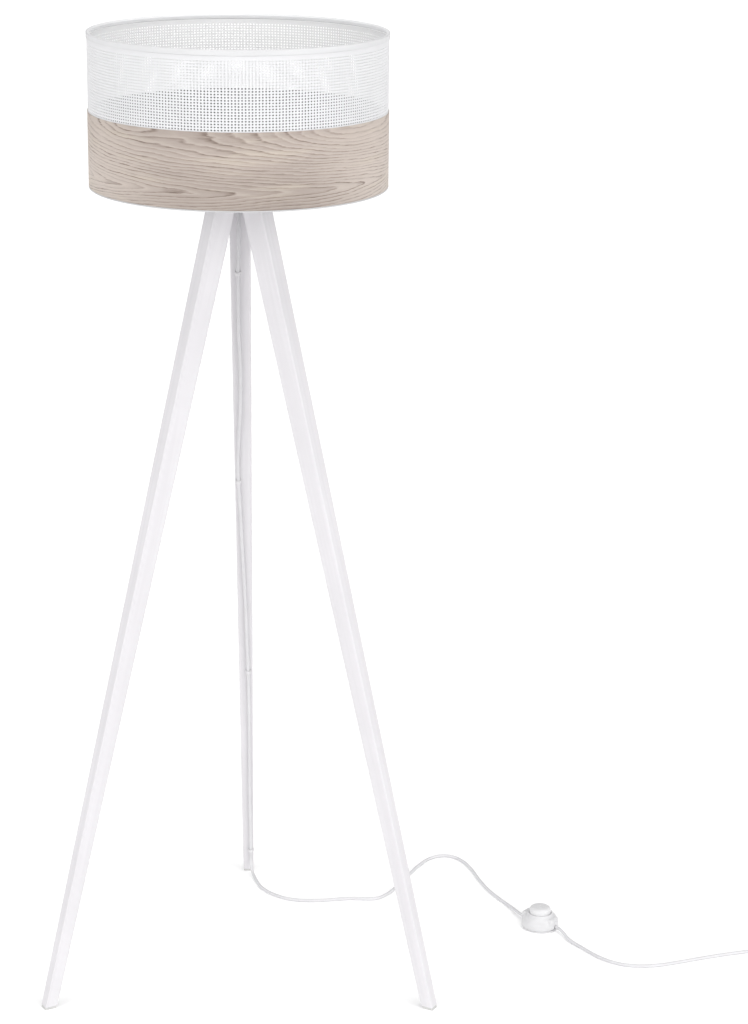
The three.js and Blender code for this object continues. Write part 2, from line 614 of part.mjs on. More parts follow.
function buildSwitch() {
  const unit = new THREE.Group();
  unit.position.set(SWITCH.x, SWITCH.y, 0);
  unit.rotation.z = radians(SWITCH.turn);
  lamp.add(unit);

  const screwHoles = [-1, 1].map((side) => {
    const hole = turned([
      [0, -1], [SWITCH_SCREW.head + GAP, -1], [SWITCH_SCREW.head + GAP, SWITCH_SCREW.headHeight + 0.7],
      [SWITCH_SCREW.radius + GAP, SWITCH_SCREW.headHeight + 0.7], [SWITCH_SCREW.radius + GAP, 5], [0, 5],
    ], 16);
    return hole.translate(0, side * SWITCH_SCREW.offset, 0);
  });
  const basePlate = plate(switchOutline(SWITCH_RADIUS, EAR.reach, EAR.width), 0, SWITCH_BASE, 20);
  add("switch_base", cut(basePlate, ...screwHoles), whitePlastic, unit);
  add("switch_housing", switchHousing(), whitePlastic, unit);
  [-1, 1].forEach((side, i) => {
    const head = 0.4;
    const screw = turned([
      [0, head], [SWITCH_SCREW.head, head], [SWITCH_SCREW.head, head + SWITCH_SCREW.headHeight],
      [SWITCH_SCREW.radius, head + SWITCH_SCREW.headHeight], [SWITCH_SCREW.radius, SWITCH_SCREW.length],
      [0, SWITCH_SCREW.length + 1.5],
    ], 12);
    add(`switch_screw_${i + 1}`, screw.translate(0, side * SWITCH_SCREW.offset, 0), zincSteel, unit);
  });

  const inner = BUTTON.radius - BUTTON.wall;
  const ceiling = BUTTON.top - BUTTON.wall - 0.8;
  add("switch_button", turned([
    [0, BUTTON.top], [12, BUTTON.top - 0.5], [16.6, BUTTON.top - 2.2], [BUTTON.radius, BUTTON.top - 6],
    [BUTTON.radius, BUTTON.flangeTop], [BUTTON.flange, BUTTON.flangeTop],
    [BUTTON.flange, BUTTON.flangeBottom], [inner, BUTTON.flangeBottom],
    [inner, ceiling - 2], [inner - 2, ceiling], [0, ceiling],
  ], 40), whitePlastic, unit);
  const mechanismBottom = SWITCH_BASE + GAP;
  const block = box(MECHANISM.length, MECHANISM.width, mechanismBottom, MECHANISM.top);
  add("switch_mechanism", block, whiteInsert, unit);
  const clampBottom = CORD_HEIGHT + CORD_RADIUS + GAP;
  const clamp = box(5, 18, clampBottom, clampBottom + 2.4).translate(-MECHANISM.length / 2 - 5, 0, 0);
  add("switch_cord_clamp", clamp, whiteInsert, unit);

  const springBottom = MECHANISM.top + GAP + SPRING.wire;
  const springTop = ceiling - GAP - SPRING.wire;
  const coils = [];
  const turnSteps = 12;
  for (let i = 0; i <= SPRING.turns * turnSteps; i += 1) {
    const angle = (i / turnSteps) * 2 * Math.PI;
    const height = THREE.MathUtils.lerp(springBottom, springTop, i / (SPRING.turns * turnSteps));
    coils.push(new THREE.Vector3(SPRING.radius * Math.cos(angle), SPRING.radius * Math.sin(angle), height));
  }
  add("switch_spring", swept(coils, SPRING.wire, SPRING.turns * turnSteps, 6), zincSteel, unit);
}

// ---------------------------------------------------------------- cord on the floor, coil, tie and plug
function buildFloorCord() {
  const clear = CORD_RADIUS + GAP;
  const offLeg = FOOT_CORD.map(([across, height]) => onRearLeg(across, height, clear));
  add("cord_floor_a", swept([...offLeg, ...vectors(FLOOR_CORD_A)], CORD_RADIUS, 68), whiteCord);
  add("cord_floor_b", swept(vectors(FLOOR_CORD_B), CORD_RADIUS, 36), whiteCord);
  const acrossHalf = COIL.turnsAcross * CORD_RADIUS;
  const coilTop = COIL.lift + COIL.turnsHigh * 2 * CORD_RADIUS;
  const corner = CORD_RADIUS * 0.6;
  const [inner, outer] = [COIL.radius - acrossHalf, COIL.radius + acrossHalf];
  const coil = turned([
    [inner + corner, COIL.lift], [outer - corner, COIL.lift],
    [outer, COIL.lift + corner], [outer, coilTop - corner],
    [outer - corner, coilTop], [inner + corner, coilTop],
    [inner, coilTop - corner], [inner, COIL.lift + corner],
  ], 40);
  add("cord_coil", coil.translate(COIL.x, COIL.y, 0), whiteCord);
  add("cord_tail", swept(vectors(TAIL), CORD_RADIUS, 6), whiteCord);

  const loopWidth = 2 * acrossHalf + 4 * GAP;
  const loopTop = coilTop + GAP;
  const outside = box(loopWidth + 2 * TIE.wall, TIE.width, 0, loopTop + TIE.wall);
  const window = box(loopWidth, TIE.width + 2, TIE.wall, loopTop);
  const tie = cut(outside, window).translate(COIL.radius, 0, 0).rotateZ(radians(TIE.angle));
  add("coil_tie", tie.translate(COIL.x, COIL.y, 0), rimTape);
}

function buildPlug() {
  const middle = PLUG.height / 2;
  const reliefEnd = PLUG.reliefStart + PLUG.reliefLength;
  const bore = CORD_RADIUS + GAP;
  // ribbed strain relief, narrow towards the cord
  const outline = [[bore, 0], [bore + 1, 0]];
  const ribs = 5;
  for (let i = 0; i < ribs; i += 1) {
    const from = 1.5 + (i * (PLUG.reliefLength - 2)) / ribs;
    const radius = bore + 1 + (2 * (i + 1)) / ribs;
    outline.push([radius, from], [radius, from + 2.4]);
    outline.push([radius - 0.8, from + 2.8], [radius - 0.8, from + 3.8]);
  }
  outline.push([bore + 2.6, PLUG.reliefLength], [bore, PLUG.reliefLength]);
  const relief = turned(outline, 16).rotateX(-Math.PI / 2).translate(PLUG.x, PLUG.reliefStart, middle);
  add("plug_relief", relief, whitePlastic);

  const start = reliefEnd + GAP;
  const half = PLUG.width / 2;
  const neck = 7.5;
  const body = new THREE.Shape();
  body.moveTo(-neck, start);
  body.lineTo(neck, start);
  body.bezierCurveTo(neck + 1.5, start + 10, half, start + 10, half, start + 21);
  body.lineTo(half - 1.5, start + PLUG.length);
  body.lineTo(-half + 1.5, start + PLUG.length);
  body.lineTo(-half, start + 21);
  body.bezierCurveTo(-half, start + 10, -neck - 1.5, start + 10, -neck, start);
  const shell = plate(body, 0, PLUG.height, 6).translate(PLUG.x, 0, 0);
  const pinFrom = start + PLUG.length - 6;
  const pinTo = start + PLUG.length + PIN.length;
  const pin = (radius, from, to, side) => rod(radius, from, to, 12)
    .rotateX(-Math.PI / 2)
    .translate(PLUG.x + (side * PIN.spacing) / 2, 0, middle);
  const sockets = [-1, 1].map((side) => pin(PIN.radius + GAP, pinFrom - GAP, pinTo, side));
  add("plug_body", cut(shell, ...sockets), whitePlastic);
  [-1, 1].forEach((side, i) => add(`plug_pin_${i + 1}`, pin(PIN.radius, pinFrom, pinTo, side), zincSteel));
}

// ---------------------------------------------------------------- assembly
buildLegs();
buildHub();
buildTube();
buildLampholder();
buildRingNut();
buildBulb();
buildShade();
buildLegCord();
CLIP_HEIGHTS.forEach(buildClip);
buildSwitch();
buildFloorCord();
buildPlug();

const part = new THREE.Group();
part.add(lamp);

export default part;
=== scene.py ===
import math
import random

import bmesh
import bpy
from mathutils import Matrix, Vector


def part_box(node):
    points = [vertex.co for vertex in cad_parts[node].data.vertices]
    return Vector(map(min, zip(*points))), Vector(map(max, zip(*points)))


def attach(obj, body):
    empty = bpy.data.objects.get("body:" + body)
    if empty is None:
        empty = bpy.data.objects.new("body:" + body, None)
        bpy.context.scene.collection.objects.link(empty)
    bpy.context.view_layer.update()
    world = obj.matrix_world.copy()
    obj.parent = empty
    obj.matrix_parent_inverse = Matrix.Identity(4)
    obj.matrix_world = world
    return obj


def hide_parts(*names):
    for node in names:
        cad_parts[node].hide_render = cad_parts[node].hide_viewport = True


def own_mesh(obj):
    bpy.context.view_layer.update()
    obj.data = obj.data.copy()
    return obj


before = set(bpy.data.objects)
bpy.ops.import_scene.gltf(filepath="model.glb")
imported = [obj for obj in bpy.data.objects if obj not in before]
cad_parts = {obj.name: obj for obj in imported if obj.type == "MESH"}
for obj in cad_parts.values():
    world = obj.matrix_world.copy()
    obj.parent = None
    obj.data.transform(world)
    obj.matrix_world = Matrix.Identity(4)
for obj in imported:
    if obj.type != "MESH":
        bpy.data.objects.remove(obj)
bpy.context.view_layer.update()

# Everything is in metres. The lamp's own axis runs through the middle of the hub, and at() turns a place
# measured from that axis at floor level into the shared frame.
HUB_LOW, HUB_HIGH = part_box("hub_disc")
AXIS = (HUB_LOW + HUB_HIGH) / 2
AXIS.z = 0.0
MM = 0.001
TAU = 2 * math.pi


def at(x, y, z):
    return AXIS + Vector((x, y, z))


# ---- camera
CAMERA_PLACE = at(0.1368, -4.2315, 2.1187)
CAMERA_DOWN = math.radians(17.06)
CAMERA_RIGHT = math.radians(1.16)
CAMERA_ROLL = math.radians(0.61)
CAMERA_LENS = 93.28  # millimetres, behind it a sensor of the width below
CAMERA_SENSOR = 36
CAMERA_SEES_TO = 200


def show(name, data, place=(0, 0, 0)):
    """A new object of that data in the scene."""
    made = bpy.data.objects.new(name, data)
    made.location = place
    bpy.context.collection.objects.link(made)
    return made


def make_camera():
    data = bpy.data.cameras.new("camera")
    data.lens = CAMERA_LENS
    data.sensor_width = CAMERA_SENSOR
    data.clip_end = CAMERA_SEES_TO
    camera = show("camera", data)
    turn = Matrix.Rotation(-CAMERA_RIGHT, 4, "Z")
    tilt = Matrix.Rotation(math.pi / 2 - CAMERA_DOWN, 4, "X")
    roll = Matrix.Rotation(CAMERA_ROLL, 4, "Z")
    camera.matrix_world = Matrix.Translation(CAMERA_PLACE) @ turn @ tilt @ roll
    bpy.context.scene.camera = camera


# ---- material graphs
class Graph:
    """A new material, with short calls for its texture nodes. A value may be a number or a socket."""

    def __init__(self, name, color=(0.8, 0.8, 0.8), roughness=0.5, **shader_values):
        self.material = bpy.data.materials.new(name)
        self.material.use_nodes = True
        self.tree = self.material.node_tree
        self.shader = self.tree.nodes["Principled BSDF"]
        self.shader.inputs["Base Color"].default_value = (*color, 1)
        self.shader.inputs["Roughness"].default_value = roughness
        for socket, value in shader_values.items():
            self.shader.inputs[socket.replace("_", " ")].default_value = value
        self.place = self.tree.nodes.new("ShaderNodeTexCoord").outputs["Object"]

    def node(self, kind, inputs, **settings):
        made = self.tree.nodes.new("ShaderNode" + kind)
        for key, value in settings.items():
            setattr(made, key, value)
        for key, value in inputs.items():
            if isinstance(value, bpy.types.NodeSocket):
                self.tree.links.new(value, made.inputs[key])
            elif value is not None:
                made.inputs[key].default_value = value
        return made

    def set(self, socket, value):
        self.tree.links.new(value, self.shader.inputs[socket])

    def math(self, operation, a, b=0.0):
        return self.node("Math", {0: a, 1: b}, operation=operation).outputs[0]

    def times(self, a, b):
        return self.math("MULTIPLY", a, b)

    def plus(self, a, b):
        return self.math("ADD", a, b)

    def minus(self, a, b):
        return self.math("SUBTRACT", a, b)

    def power(self, a, b):
        return self.math("POWER", a, b)

    def scaled(self, vector, scale):
        return self.node("Mapping", {"Vector": vector, "Scale": scale}).outputs[0]

    def noise(self, vector, scale=1.0, detail=3.0, roughness=0.55, shift=0.0):
        moved = self.node("Mapping", {"Vector": vector, "Location": (shift, shift * 0.7, shift * 0.3)})
        inputs = {"Vector": moved.outputs[0], "Scale": scale, "Detail": detail, "Roughness": roughness}
        return self.node("TexNoise", inputs).outputs[0]

    def spread(self, value, low, high, to_low=0.0, to_high=1.0):
        """value from low..high stretched to to_low..to_high, held at both ends, with soft shoulders."""
        inputs = {"Value": value, "From Min": low, "From Max": high, "To Min": to_low, "To Max": to_high}
        return self.node("MapRange", inputs, interpolation_type="SMOOTHSTEP").outputs[0]

    def mix(self, factor, a, b, kind="MIX"):
        made = self.tree.nodes.new("ShaderNodeMix")
        made.data_type = "RGBA"
        made.blend_type = kind
        for socket, value in ((0, factor), (6, a), (7, b)):
            if isinstance(value, bpy.types.NodeSocket):
                self.tree.links.new(value, made.inputs[socket])
            else:
                made.inputs[socket].default_value = value if socket == 0 else (*value, 1)
        return made.outputs[2]

    def bump(self, height, distance, strength=1.0):
        inputs = {"Height": height, "Distance": distance, "Strength": strength}
        self.set("Normal", self.node("Bump", inputs).outputs[0])

    def vary_roughness(self, source, low, high):
        self.set("Roughness", self.spread(source, 0.3, 0.7, low, high))

    def around(self, radius):
        """The surface point's (way round the lamp's axis, height, 0) in metres, its seam at the back."""
        split = self.node("SeparateXYZ", {0: self.place})
        backwards = self.times(split.outputs["Y"], -1.0)
        angle = self.math("ARCTAN2", split.outputs["X"], backwards)
        run = self.times(angle, radius)
        return self.node("CombineXYZ", {"X": run, "Y": split.outputs["Z"], "Z": 0.0}).outputs[0]

    def from_axis(self):
        """The surface point's distance from the lamp's axis, in metres."""
        flat = self.node("VectorMath", {0: self.place, 1: (1, 1, 0)}, operation="MULTIPLY")
        return self.node("VectorMath", {0: flat.outputs["Vector"]}, operation="LENGTH").outputs["Value"]


def painted_wood(name, leg_angle=None):
    """White satin paint with the wood's grain just showing. The grain runs up the leg at that angle."""
    g = Graph(name, roughness=0.42)
    grain_place = g.place
    if leg_angle is not None:
        around_axis = g.node(
            "VectorRotate",
            {"Vector": g.place, "Center": AXIS, "Angle": -math.radians(leg_angle)},
            rotation_type="Z_AXIS",
        )
        upright = g.node(
            "VectorRotate",
            {"Vector": around_axis.outputs[0], "Angle": math.atan(LEG_LEAN)},
            rotation_type="Y_AXIS",
        )
        grain_place = upright.outputs[0]
    long_grain = g.scaled(grain_place, (1, 1, 0.03))
    fibre = g.noise(long_grain, 900, 4, 0.6)
    figure = g.noise(long_grain, 90, 3, 0.5, shift=3.1)
    patches = g.noise(grain_place, 9, 2, 0.5, shift=7.7)
    tint = g.mix(g.spread(patches, 0.3, 0.7), (0.695, 0.68, 0.702), (0.67, 0.655, 0.676))
    grain = g.spread(figure, 0.42, 0.6, 0.0, 0.5)
    g.set("Base Color", g.mix(grain, tint, (0.64, 0.625, 0.645)))
    g.vary_roughness(patches, 0.36, 0.5)
    relief = g.plus(g.times(fibre, 0.6), g.times(figure, 0.8))
    g.bump(relief, 0.00035, 0.5)
    return g.material


def oak_veneer():
    """Greige oak. Its rings run round the shade: long lines that sag under a whorl at the top right and close
    into flat arches near the bottom."""
    g = Graph("oak_veneer", roughness=0.62)
    sheet = g.around(SHADE_RADIUS)
    parts = g.node("SeparateXYZ", {0: sheet})
    run, rise = parts.outputs["X"], parts.outputs["Y"]

    def whorl(middle, height, half_run, half_rise, rings):
        """A swelling that pushes the lines down round it by that many rings."""
        across = g.power(g.times(g.minus(run, middle), 1 / half_run), 2.0)
        upward = g.power(g.times(g.minus(rise, height), 1 / half_rise), 2.0)
        fall = g.math("EXPONENT", g.times(g.plus(across, upward), -1.0))
        return g.times(fall, rings)

    # ring count: by distance from the arches' line, with whorls, bent by slow noise and frayed by quick noise
    broad = g.noise(g.scaled(sheet, (3.2, 10, 1)), 1.0, 1.0, 0.4, shift=GRAIN_SHIFT)
    middle = g.noise(g.scaled(sheet, (12, 60, 1)), 1.0, 2.0, 0.5, shift=1.3)
    quick = g.noise(g.scaled(sheet, (80, 520, 1)), 1.0, 3.0, 0.6, shift=5.1)
    above = g.minus(rise, ARCH_LINE)
    above = g.minus(above, g.times(broad, 0.02))
    distance = g.math("SQRT", g.plus(g.power(above, 2.0), 0.004 ** 2))
    count = g.times(distance, RINGS_PER_METRE)
    near_top = g.math("MAXIMUM", g.minus(rise, SHADE_BOTTOM + 0.066), 0.0)
    count = g.minus(count, g.times(g.power(near_top, 2.0), 1750))
    for term in (
        g.times(run, RING_SLANT), g.times(broad, 4.5), g.times(middle, 1.5),
        g.times(quick, 0.4), whorl(0.2, JOIN + 0.012, 0.14, 0.045, 5.2),
        whorl(-0.19, JOIN + 0.002, 0.06, 0.018, 2.4),
    ):
        count = g.plus(count, term)
    ring = g.math("FRACT", count)
    late = g.times(g.spread(ring, 0.42, 0.88), g.spread(ring, 0.9, 1.0, 1.0, 0.0))
    late = g.power(late, 1.7)
    # every ring differs in strength, and each breaks up along its length
    which = g.math("FLOOR", count)
    strength = g.node("TexWhiteNoise", {"W": which}, noise_dimensions="1D").outputs["Value"]
    broken = g.noise(g.scaled(sheet, (30, 620, 1)), 1.0, 3.0, 0.65, shift=9.4)
    late = g.times(late, g.spread(broken, 0.36, 0.62, 0.2, 1.0))
    late = g.times(late, g.spread(strength, 0.0, 1.0, 0.36, 1.0))
    fibre = g.noise(g.scaled(sheet, (45, 2300, 1)), 1.0, 4.0, 0.6, shift=2.2)
    pores = g.spread(g.noise(g.scaled(sheet, (110, 2600, 1)), 1.0, 2.0, 0.5, shift=6.6), 0.6, 0.74)
    streak = g.noise(g.scaled(sheet, (6, 70, 1)), 1.0, 3.0, 0.6, shift=3.3)
    tone = g.noise(g.scaled(sheet, (5, 22, 1)), 1.0, 3.0, 0.5, shift=4.0)
    color = g.mix(g.spread(tone, 0.3, 0.72), (0.42, 0.358, 0.319), (0.355, 0.30, 0.267))
    # painted light: the strip is paler away from its middle, standing in for side light on the shade's flanks
    painted_side_light = g.spread(g.math("ABSOLUTE", run), 0.07, 0.27)
    color = g.mix(g.times(painted_side_light, 0.75), color, (0.60, 0.527, 0.478))
    color = g.mix(g.spread(streak, 0.5, 0.72, 0.0, 0.5), color, (0.555, 0.49, 0.405))
    color = g.mix(g.spread(ring, 0.02, 0.4, 0.26, 0.0), color, (0.62, 0.55, 0.49))
    color = g.mix(late, color, (0.155, 0.11, 0.086))
    color = g.mix(g.spread(fibre, 0.35, 0.7, 0.0, 0.2), color, (0.29, 0.235, 0.205))
    color = g.mix(g.times(pores, 0.3), color, (0.20, 0.15, 0.12))
    g.set("Base Color", color)
    g.vary_roughness(fibre, 0.5, 0.72)
    relief = g.minus(g.times(fibre, 0.5), g.plus(pores, g.times(late, 0.6)))
    g.bump(relief, 0.00012, 0.6)
    return g.material


def openwork_cloth():
    """Stiff white cloth: fine threads both ways with a little fuzz."""
    g = Graph("openwork_cloth", roughness=0.78, Sheen_Weight=0.12, Sheen_Roughness=0.5)
    sheet = g.around(SHADE_RADIUS)
    threads = g.node("TexWave", {"Vector": sheet, "Scale": 900, "Distortion": 0.6}, bands_direction="X")
    cross = g.node("TexWave", {"Vector": sheet, "Scale": 900, "Distortion": 0.6}, bands_direction="Y")
    weave = g.times(threads.outputs["Fac"], cross.outputs["Fac"])
    fuzz = g.noise(g.place, 1500, 3)
    cloud = g.noise(g.place, 22, 2)
    color = g.mix(g.spread(cloud, 0.3, 0.7), (0.735, 0.735, 0.747), (0.715, 0.715, 0.727))
    color = g.mix(g.spread(weave, 0.0, 1.0, 0.25, 0.0), color, (0.66, 0.66, 0.675))
    # painted light: its inner face is whiter, lifting the shadowed inside of the lampshade
    inside = g.spread(g.from_axis(), SHEET_INNER + 0.2 * MM, SHEET_OUTER - 0.2 * MM, 1.0, 0.0)
    g.set("Base Color", g.mix(inside, color, (0.77, 0.77, 0.775)))
    g.vary_roughness(fuzz, 0.7, 0.86)
    g.bump(g.plus(weave, g.times(fuzz, 0.5)), 0.00012, 0.6)
    return g.material


def liner_painted_shade():
    """The veneer's lining, coloured dark grey as painted shade: the inside of the lampshade below the join
    lies in shadow.
    """
    g = Graph("liner_painted_shade", roughness=0.62)
    fibre = g.noise(g.place, 420, 5, 0.65)
    cloud = g.noise(g.place, 14, 2)
    color = g.mix(g.spread(cloud, 0.3, 0.7), (0.135, 0.135, 0.139), (0.125, 0.125, 0.129))
    g.set("Base Color", g.mix(g.spread(fibre, 0.4, 0.7, 0.0, 0.3), color, (0.11, 0.11, 0.114)))
    g.vary_roughness(fibre, 0.55, 0.72)
    g.bump(fibre, 0.00008, 0.5)
    return g.material


def rim_tape_material(name, outside, edge):
    """Thin tape, creased a little where it is drawn over the rim, with one tone on its outer part and another
    where it bends in.
    """
    g = Graph(name, roughness=0.5)
    sheet = g.around(SHADE_RADIUS)
    crease = g.noise(g.scaled(sheet, (160, 30, 1)), 1.0, 3, 0.55)
    grainy = g.noise(g.place, 1900, 3)
    cloud = g.noise(g.scaled(sheet, (9, 60, 1)), 1.0, 2)
    # the mask between the outer tone and the inner tone; on the top rim these two tones are painted light
    wide = g.spread(g.from_axis(), SHADE_RADIUS - 2.6 * MM, SHADE_RADIUS - 0.9 * MM)
    color = g.mix(wide, (edge, edge, 1.012 * edge), (outside, outside, 1.015 * outside))
    color = g.mix(g.spread(cloud, 0.3, 0.7, 0.0, 0.07), color, (0.3, 0.3, 0.3))
    g.set("Base Color", g.mix(g.spread(grainy, 0.45, 0.7, 0.0, 0.1), color, (0.4, 0.4, 0.41)))
    g.vary_roughness(crease, 0.42, 0.6)
    g.bump(g.plus(g.times(crease, 1.5), g.times(grainy, 0.3)), 0.0002, 0.4)
    return g.material


def moulded(name, color, low, high, texture=2600, depth=0.00004, dust=0.06):
    """Moulded plastic: a fine even spark-eroded texture, slight flow marks and a little dust in the lows."""
    g = Graph(name, color)
    fine = g.noise(g.place, texture, 3, 0.6)
    flow = g.noise(g.scaled(g.place, (1, 1, 2.5)), 60, 3, 0.5, shift=2.4)
    darker = tuple(0.86 * channel for channel in color)
    tone = g.mix(g.spread(flow, 0.32, 0.7, 0.0, 0.3), color, darker)
    g.set("Base Color", g.mix(g.spread(fine, 0.5, 0.75, 0.0, dust), tone, (0.45, 0.44, 0.42)))
    g.vary_roughness(flow, low, high)
    g.bump(fine, depth, 0.6)
    return g.material


def metal(name, color, low, high, brushing=(1, 1, 30), dark=0.7):
    """Plated or plain metal with fine drawing lines and dull patches."""
    g = Graph(name, color, Metallic=1.0)
    lines = g.noise(g.scaled(g.place, brushing), 220, 4, 0.6)
    patches = g.noise(g.place, 130, 3, 0.5, shift=5.5)
    g.set("Base Color", g.mix(g.spread(patches, 0.35, 0.7, 0.0, 0.6), color, tuple(dark * c for c in color)))
    g.vary_roughness(lines, low, high)
    g.bump(lines, 0.00002, 0.5)
    return g.material


def vinyl():
    """The cord's white sheath: satin, with faint ripples and scuffs."""
    g = Graph("vinyl", roughness=0.42)
    ripple = g.noise(g.place, 55, 2)
    scuff = g.spread(g.noise(g.place, 340, 4, 0.65, shift=8.2), 0.56, 0.72)
    fine = g.noise(g.place, 2400, 2)
    color = g.mix(g.spread(ripple, 0.3, 0.7), (0.655, 0.65, 0.665), (0.625, 0.62, 0.635))
    g.set("Base Color", g.mix(g.times(scuff, 0.15), color, (0.45, 0.44, 0.44)))
    g.vary_roughness(ripple, 0.34, 0.5)
    g.bump(g.plus(ripple, g.times(fine, 0.12)), 0.0003, 0.35)
    return g.material


def opal():
    """Satin opal diffuser: a soft white body under a smooth skin."""
    g = Graph("opal", roughness=0.28, Subsurface_Weight=0.35, Subsurface_Scale=0.004)
    cloud = g.noise(g.place, 40, 3)
    fine = g.noise(g.place, 3000, 2)
    g.set("Base Color", g.mix(g.spread(cloud, 0.3, 0.7), (0.84, 0.84, 0.82), (0.80, 0.80, 0.785)))
    g.vary_roughness(cloud, 0.24, 0.36)
    g.bump(fine, 0.00002, 0.4)
    return g.material


# ---- piece helpers
def mesh_piece(name, build, material, place=AXIS, sharp=34):
    """The object that a finished bmesh becomes, shaded smooth between sharp edges."""
    mesh = bpy.data.meshes.new(name)
    build.to_mesh(mesh)
    build.free()
    mesh.materials.append(material)
    shade_smooth(mesh, sharp)
    return show(name, mesh, place)


def link_mesh(name, vertices, faces, material, place=AXIS, sharp=34):
    """A new mesh object at place, its vertices measured from there and welded."""
    build = bmesh.new()
    corners = [build.verts.new(v) for v in vertices]
    for face in faces:
        build.faces.new([corners[i] for i in face])
    bmesh.ops.remove_doubles(build, verts=build.verts, dist=1e-6)
    bmesh.ops.recalc_face_normals(build, faces=build.faces)
    return mesh_piece(name, build, material, place, sharp)


def shade_smooth(mesh, sharp=34):
    mesh.shade_smooth()
    mesh.set_sharp_from_angle(angle=math.radians(sharp))


def belongs(piece, body, slot, *nodes):
    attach(piece, body)
    if nodes:
        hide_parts(*nodes)
    return piece


def eased(outline, ease, steps=3, closed=True):
    """The outline with each corner cut back by ease, or by 0.45 of a shorter side, and rounded."""
    points = [Vector(p) for p in outline]
    count = len(points)
    rounded = []
    for i, corner in enumerate(points):
        if not closed and i in (0, count - 1):
            rounded.append(corner)
            continue
        before = points[i - 1] - corner
        after = points[(i + 1) % count] - corner
        start = corner + before.normalized() * min(ease, 0.45 * before.length)
        end = corner + after.normalized() * min(ease, 0.45 * after.length)
        for k in range(steps + 1):
            t = k / steps
            rounded.append((1 - t) ** 2 * start + 2 * t * (1 - t) * corner + t * t * end)
    return rounded


def grid_faces(rows, count, rows_meet, points_meet):
    """Four-sided faces between neighbouring rows of count points, which may meet round either way."""
    faces = []
    for row in range(rows if rows_meet else rows - 1):
        here = row * count
        there = (row + 1) % rows * count
        for i in range(count if points_meet else count - 1):
            j = (i + 1) % count
            faces.append((here + i, here + j, there + j, there + i))
    return faces


def lathe(name, outline, material, segments=96, place=AXIS, closed=True, wobble=None):
    """Turns (radius, height) points about a vertical axis. closed joins the last point to the first."""
    rows = len(outline)
    vertices = []
    for s in range(segments):
        angle = s / segments * TAU
        for radius, height in outline:
            extra = wobble(angle, height) if wobble and radius > 0 else 0.0
            vertices.append(((radius + extra) * math.sin(angle), -(radius + extra) * math.cos(angle), height))
    faces = grid_faces(segments, rows, True, closed)
    return link_mesh(name, *without_slivers(vertices, faces), material, place)


def without_slivers(vertices, faces):
    """Drops repeated corners, so a ring of points on the axis becomes a fan of triangles."""
    keys = {}
    index = [keys.setdefault(tuple(round(c, 7) for c in v), i) for i, v in enumerate(vertices)]
    cleaned = []
    for face in faces:
        corners = []
        for i in face:
            if index[i] not in corners:
                corners.append(index[i])
        if len(corners) > 2:
            cleaned.append(corners)
    return vertices, cleaned


def loft(name, rings, material, place=AXIS, ends="capped", sharp=34):
    """Joins equal rings of points into a skin. Its ends are capped, open, or joined to each other."""
    count = len(rings[0])
    faces = grid_faces(len(rings), count, ends == "joined", True)
    if ends == "capped":
        last = (len(rings) - 1) * count
        faces.append(tuple(range(count - 1, -1, -1)))
        faces.append(tuple(range(last, last + count)))
    return link_mesh(name, [point for ring in rings for point in ring], faces, material, place, sharp)


def curve_piece(name, points, radius, material):
    """A round cord or wire along a smooth line through the points."""
    data = bpy.data.curves.new(name, "CURVE")
    data.dimensions = "3D"
    data.bevel_depth = radius
    data.bevel_resolution = 6
    data.resolution_u = 6
    data.use_fill_caps = True
    spline = data.splines.new("BEZIER")
    spline.bezier_points.add(len(points) - 1)
    for bezier, point in zip(spline.bezier_points, points):
        bezier.co = point
        bezier.handle_left_type = "AUTO"
        bezier.handle_right_type = "AUTO"
    data.materials.append(material)
    return show(name, data)


def swing(piece, angle):
    """Turns a piece about the upright line through its place."""
    piece.rotation_euler.z = angle
    bpy.context.view_layer.update()


def above(height, *points):
    """(radius, height) points in metres, from points in millimetres measured up from a height."""
    return [(radius * MM, height + rise * MM) for radius, rise in points]


def heights(node):
    """The lowest and highest level of a CAD node."""
    low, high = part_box(node)
    return low.z, high.z


def angles(count):
    """That many equal steps round a circle."""
    return [k / count * TAU for k in range(count)]


def held(value):
    return min(1.0, max(0.0, value))


def soft_step(value):
    """0 to 1 with a soft start and end, held at both."""
    t = held(value)
    return t * t * (3 - 2 * t)


def finish_modifiers(piece, sharp=34):
    """Swaps a piece's mesh for its shape with all modifiers applied."""
    bpy.context.view_layer.update()
    shaped = bpy.data.meshes.new_from_object(piece.evaluated_get(bpy.context.evaluated_depsgraph_get()))
    piece.modifiers.clear()
    piece.data = shaped
    shade_smooth(shaped, sharp)
    return piece


def boolean(piece, tool, operation):
    step = piece.modifiers.new(operation.lower(), "BOOLEAN")
    step.operation = operation
    step.object = tool
    step.solver = "EXACT"
    finish_modifiers(piece)
    bpy.data.objects.remove(tool)
    return piece


def block(name, low, high, material, place, ease=0.0):
    """A box from low to high, its edges eased."""
    build = bmesh.new()
    bmesh.ops.create_cube(build, size=1)
    low, high = Vector(low), Vector(high)
    for vertex in build.verts:
        vertex.co = Vector(low[i] + (vertex.co[i] + 0.5) * (high[i] - low[i]) for i in range(3))
    if ease:
        bmesh.ops.bevel(build, geom=build.edges[:], offset=ease, segments=3, affect="EDGES", profile=0.5)
    return mesh_piece(name, build, material, place)


def soften(node, width, material):
    """Carries a CAD node over: its own finish, eased edges and flat faces that shade flat."""
    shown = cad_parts[node]
    shown.data.materials.clear()
    shown.data.materials.append(material)
    for polygon in shown.data.polygons:
        polygon.use_smooth = True
    weld = shown.modifiers.new("weld", "WELD")
    weld.merge_threshold = 1e-6
    if width:
        bevel = shown.modifiers.new("edges", "BEVEL")
        bevel.width = width
        bevel.segments = 2
        bevel.limit_method = "ANGLE"
        bevel.angle_limit = math.radians(38)
        bevel.use_clamp_overlap = True
        bevel.harden_normals = True
    split = shown.modifiers.new("split", "EDGE_SPLIT")
    split.split_angle = math.radians(42)
    return shown


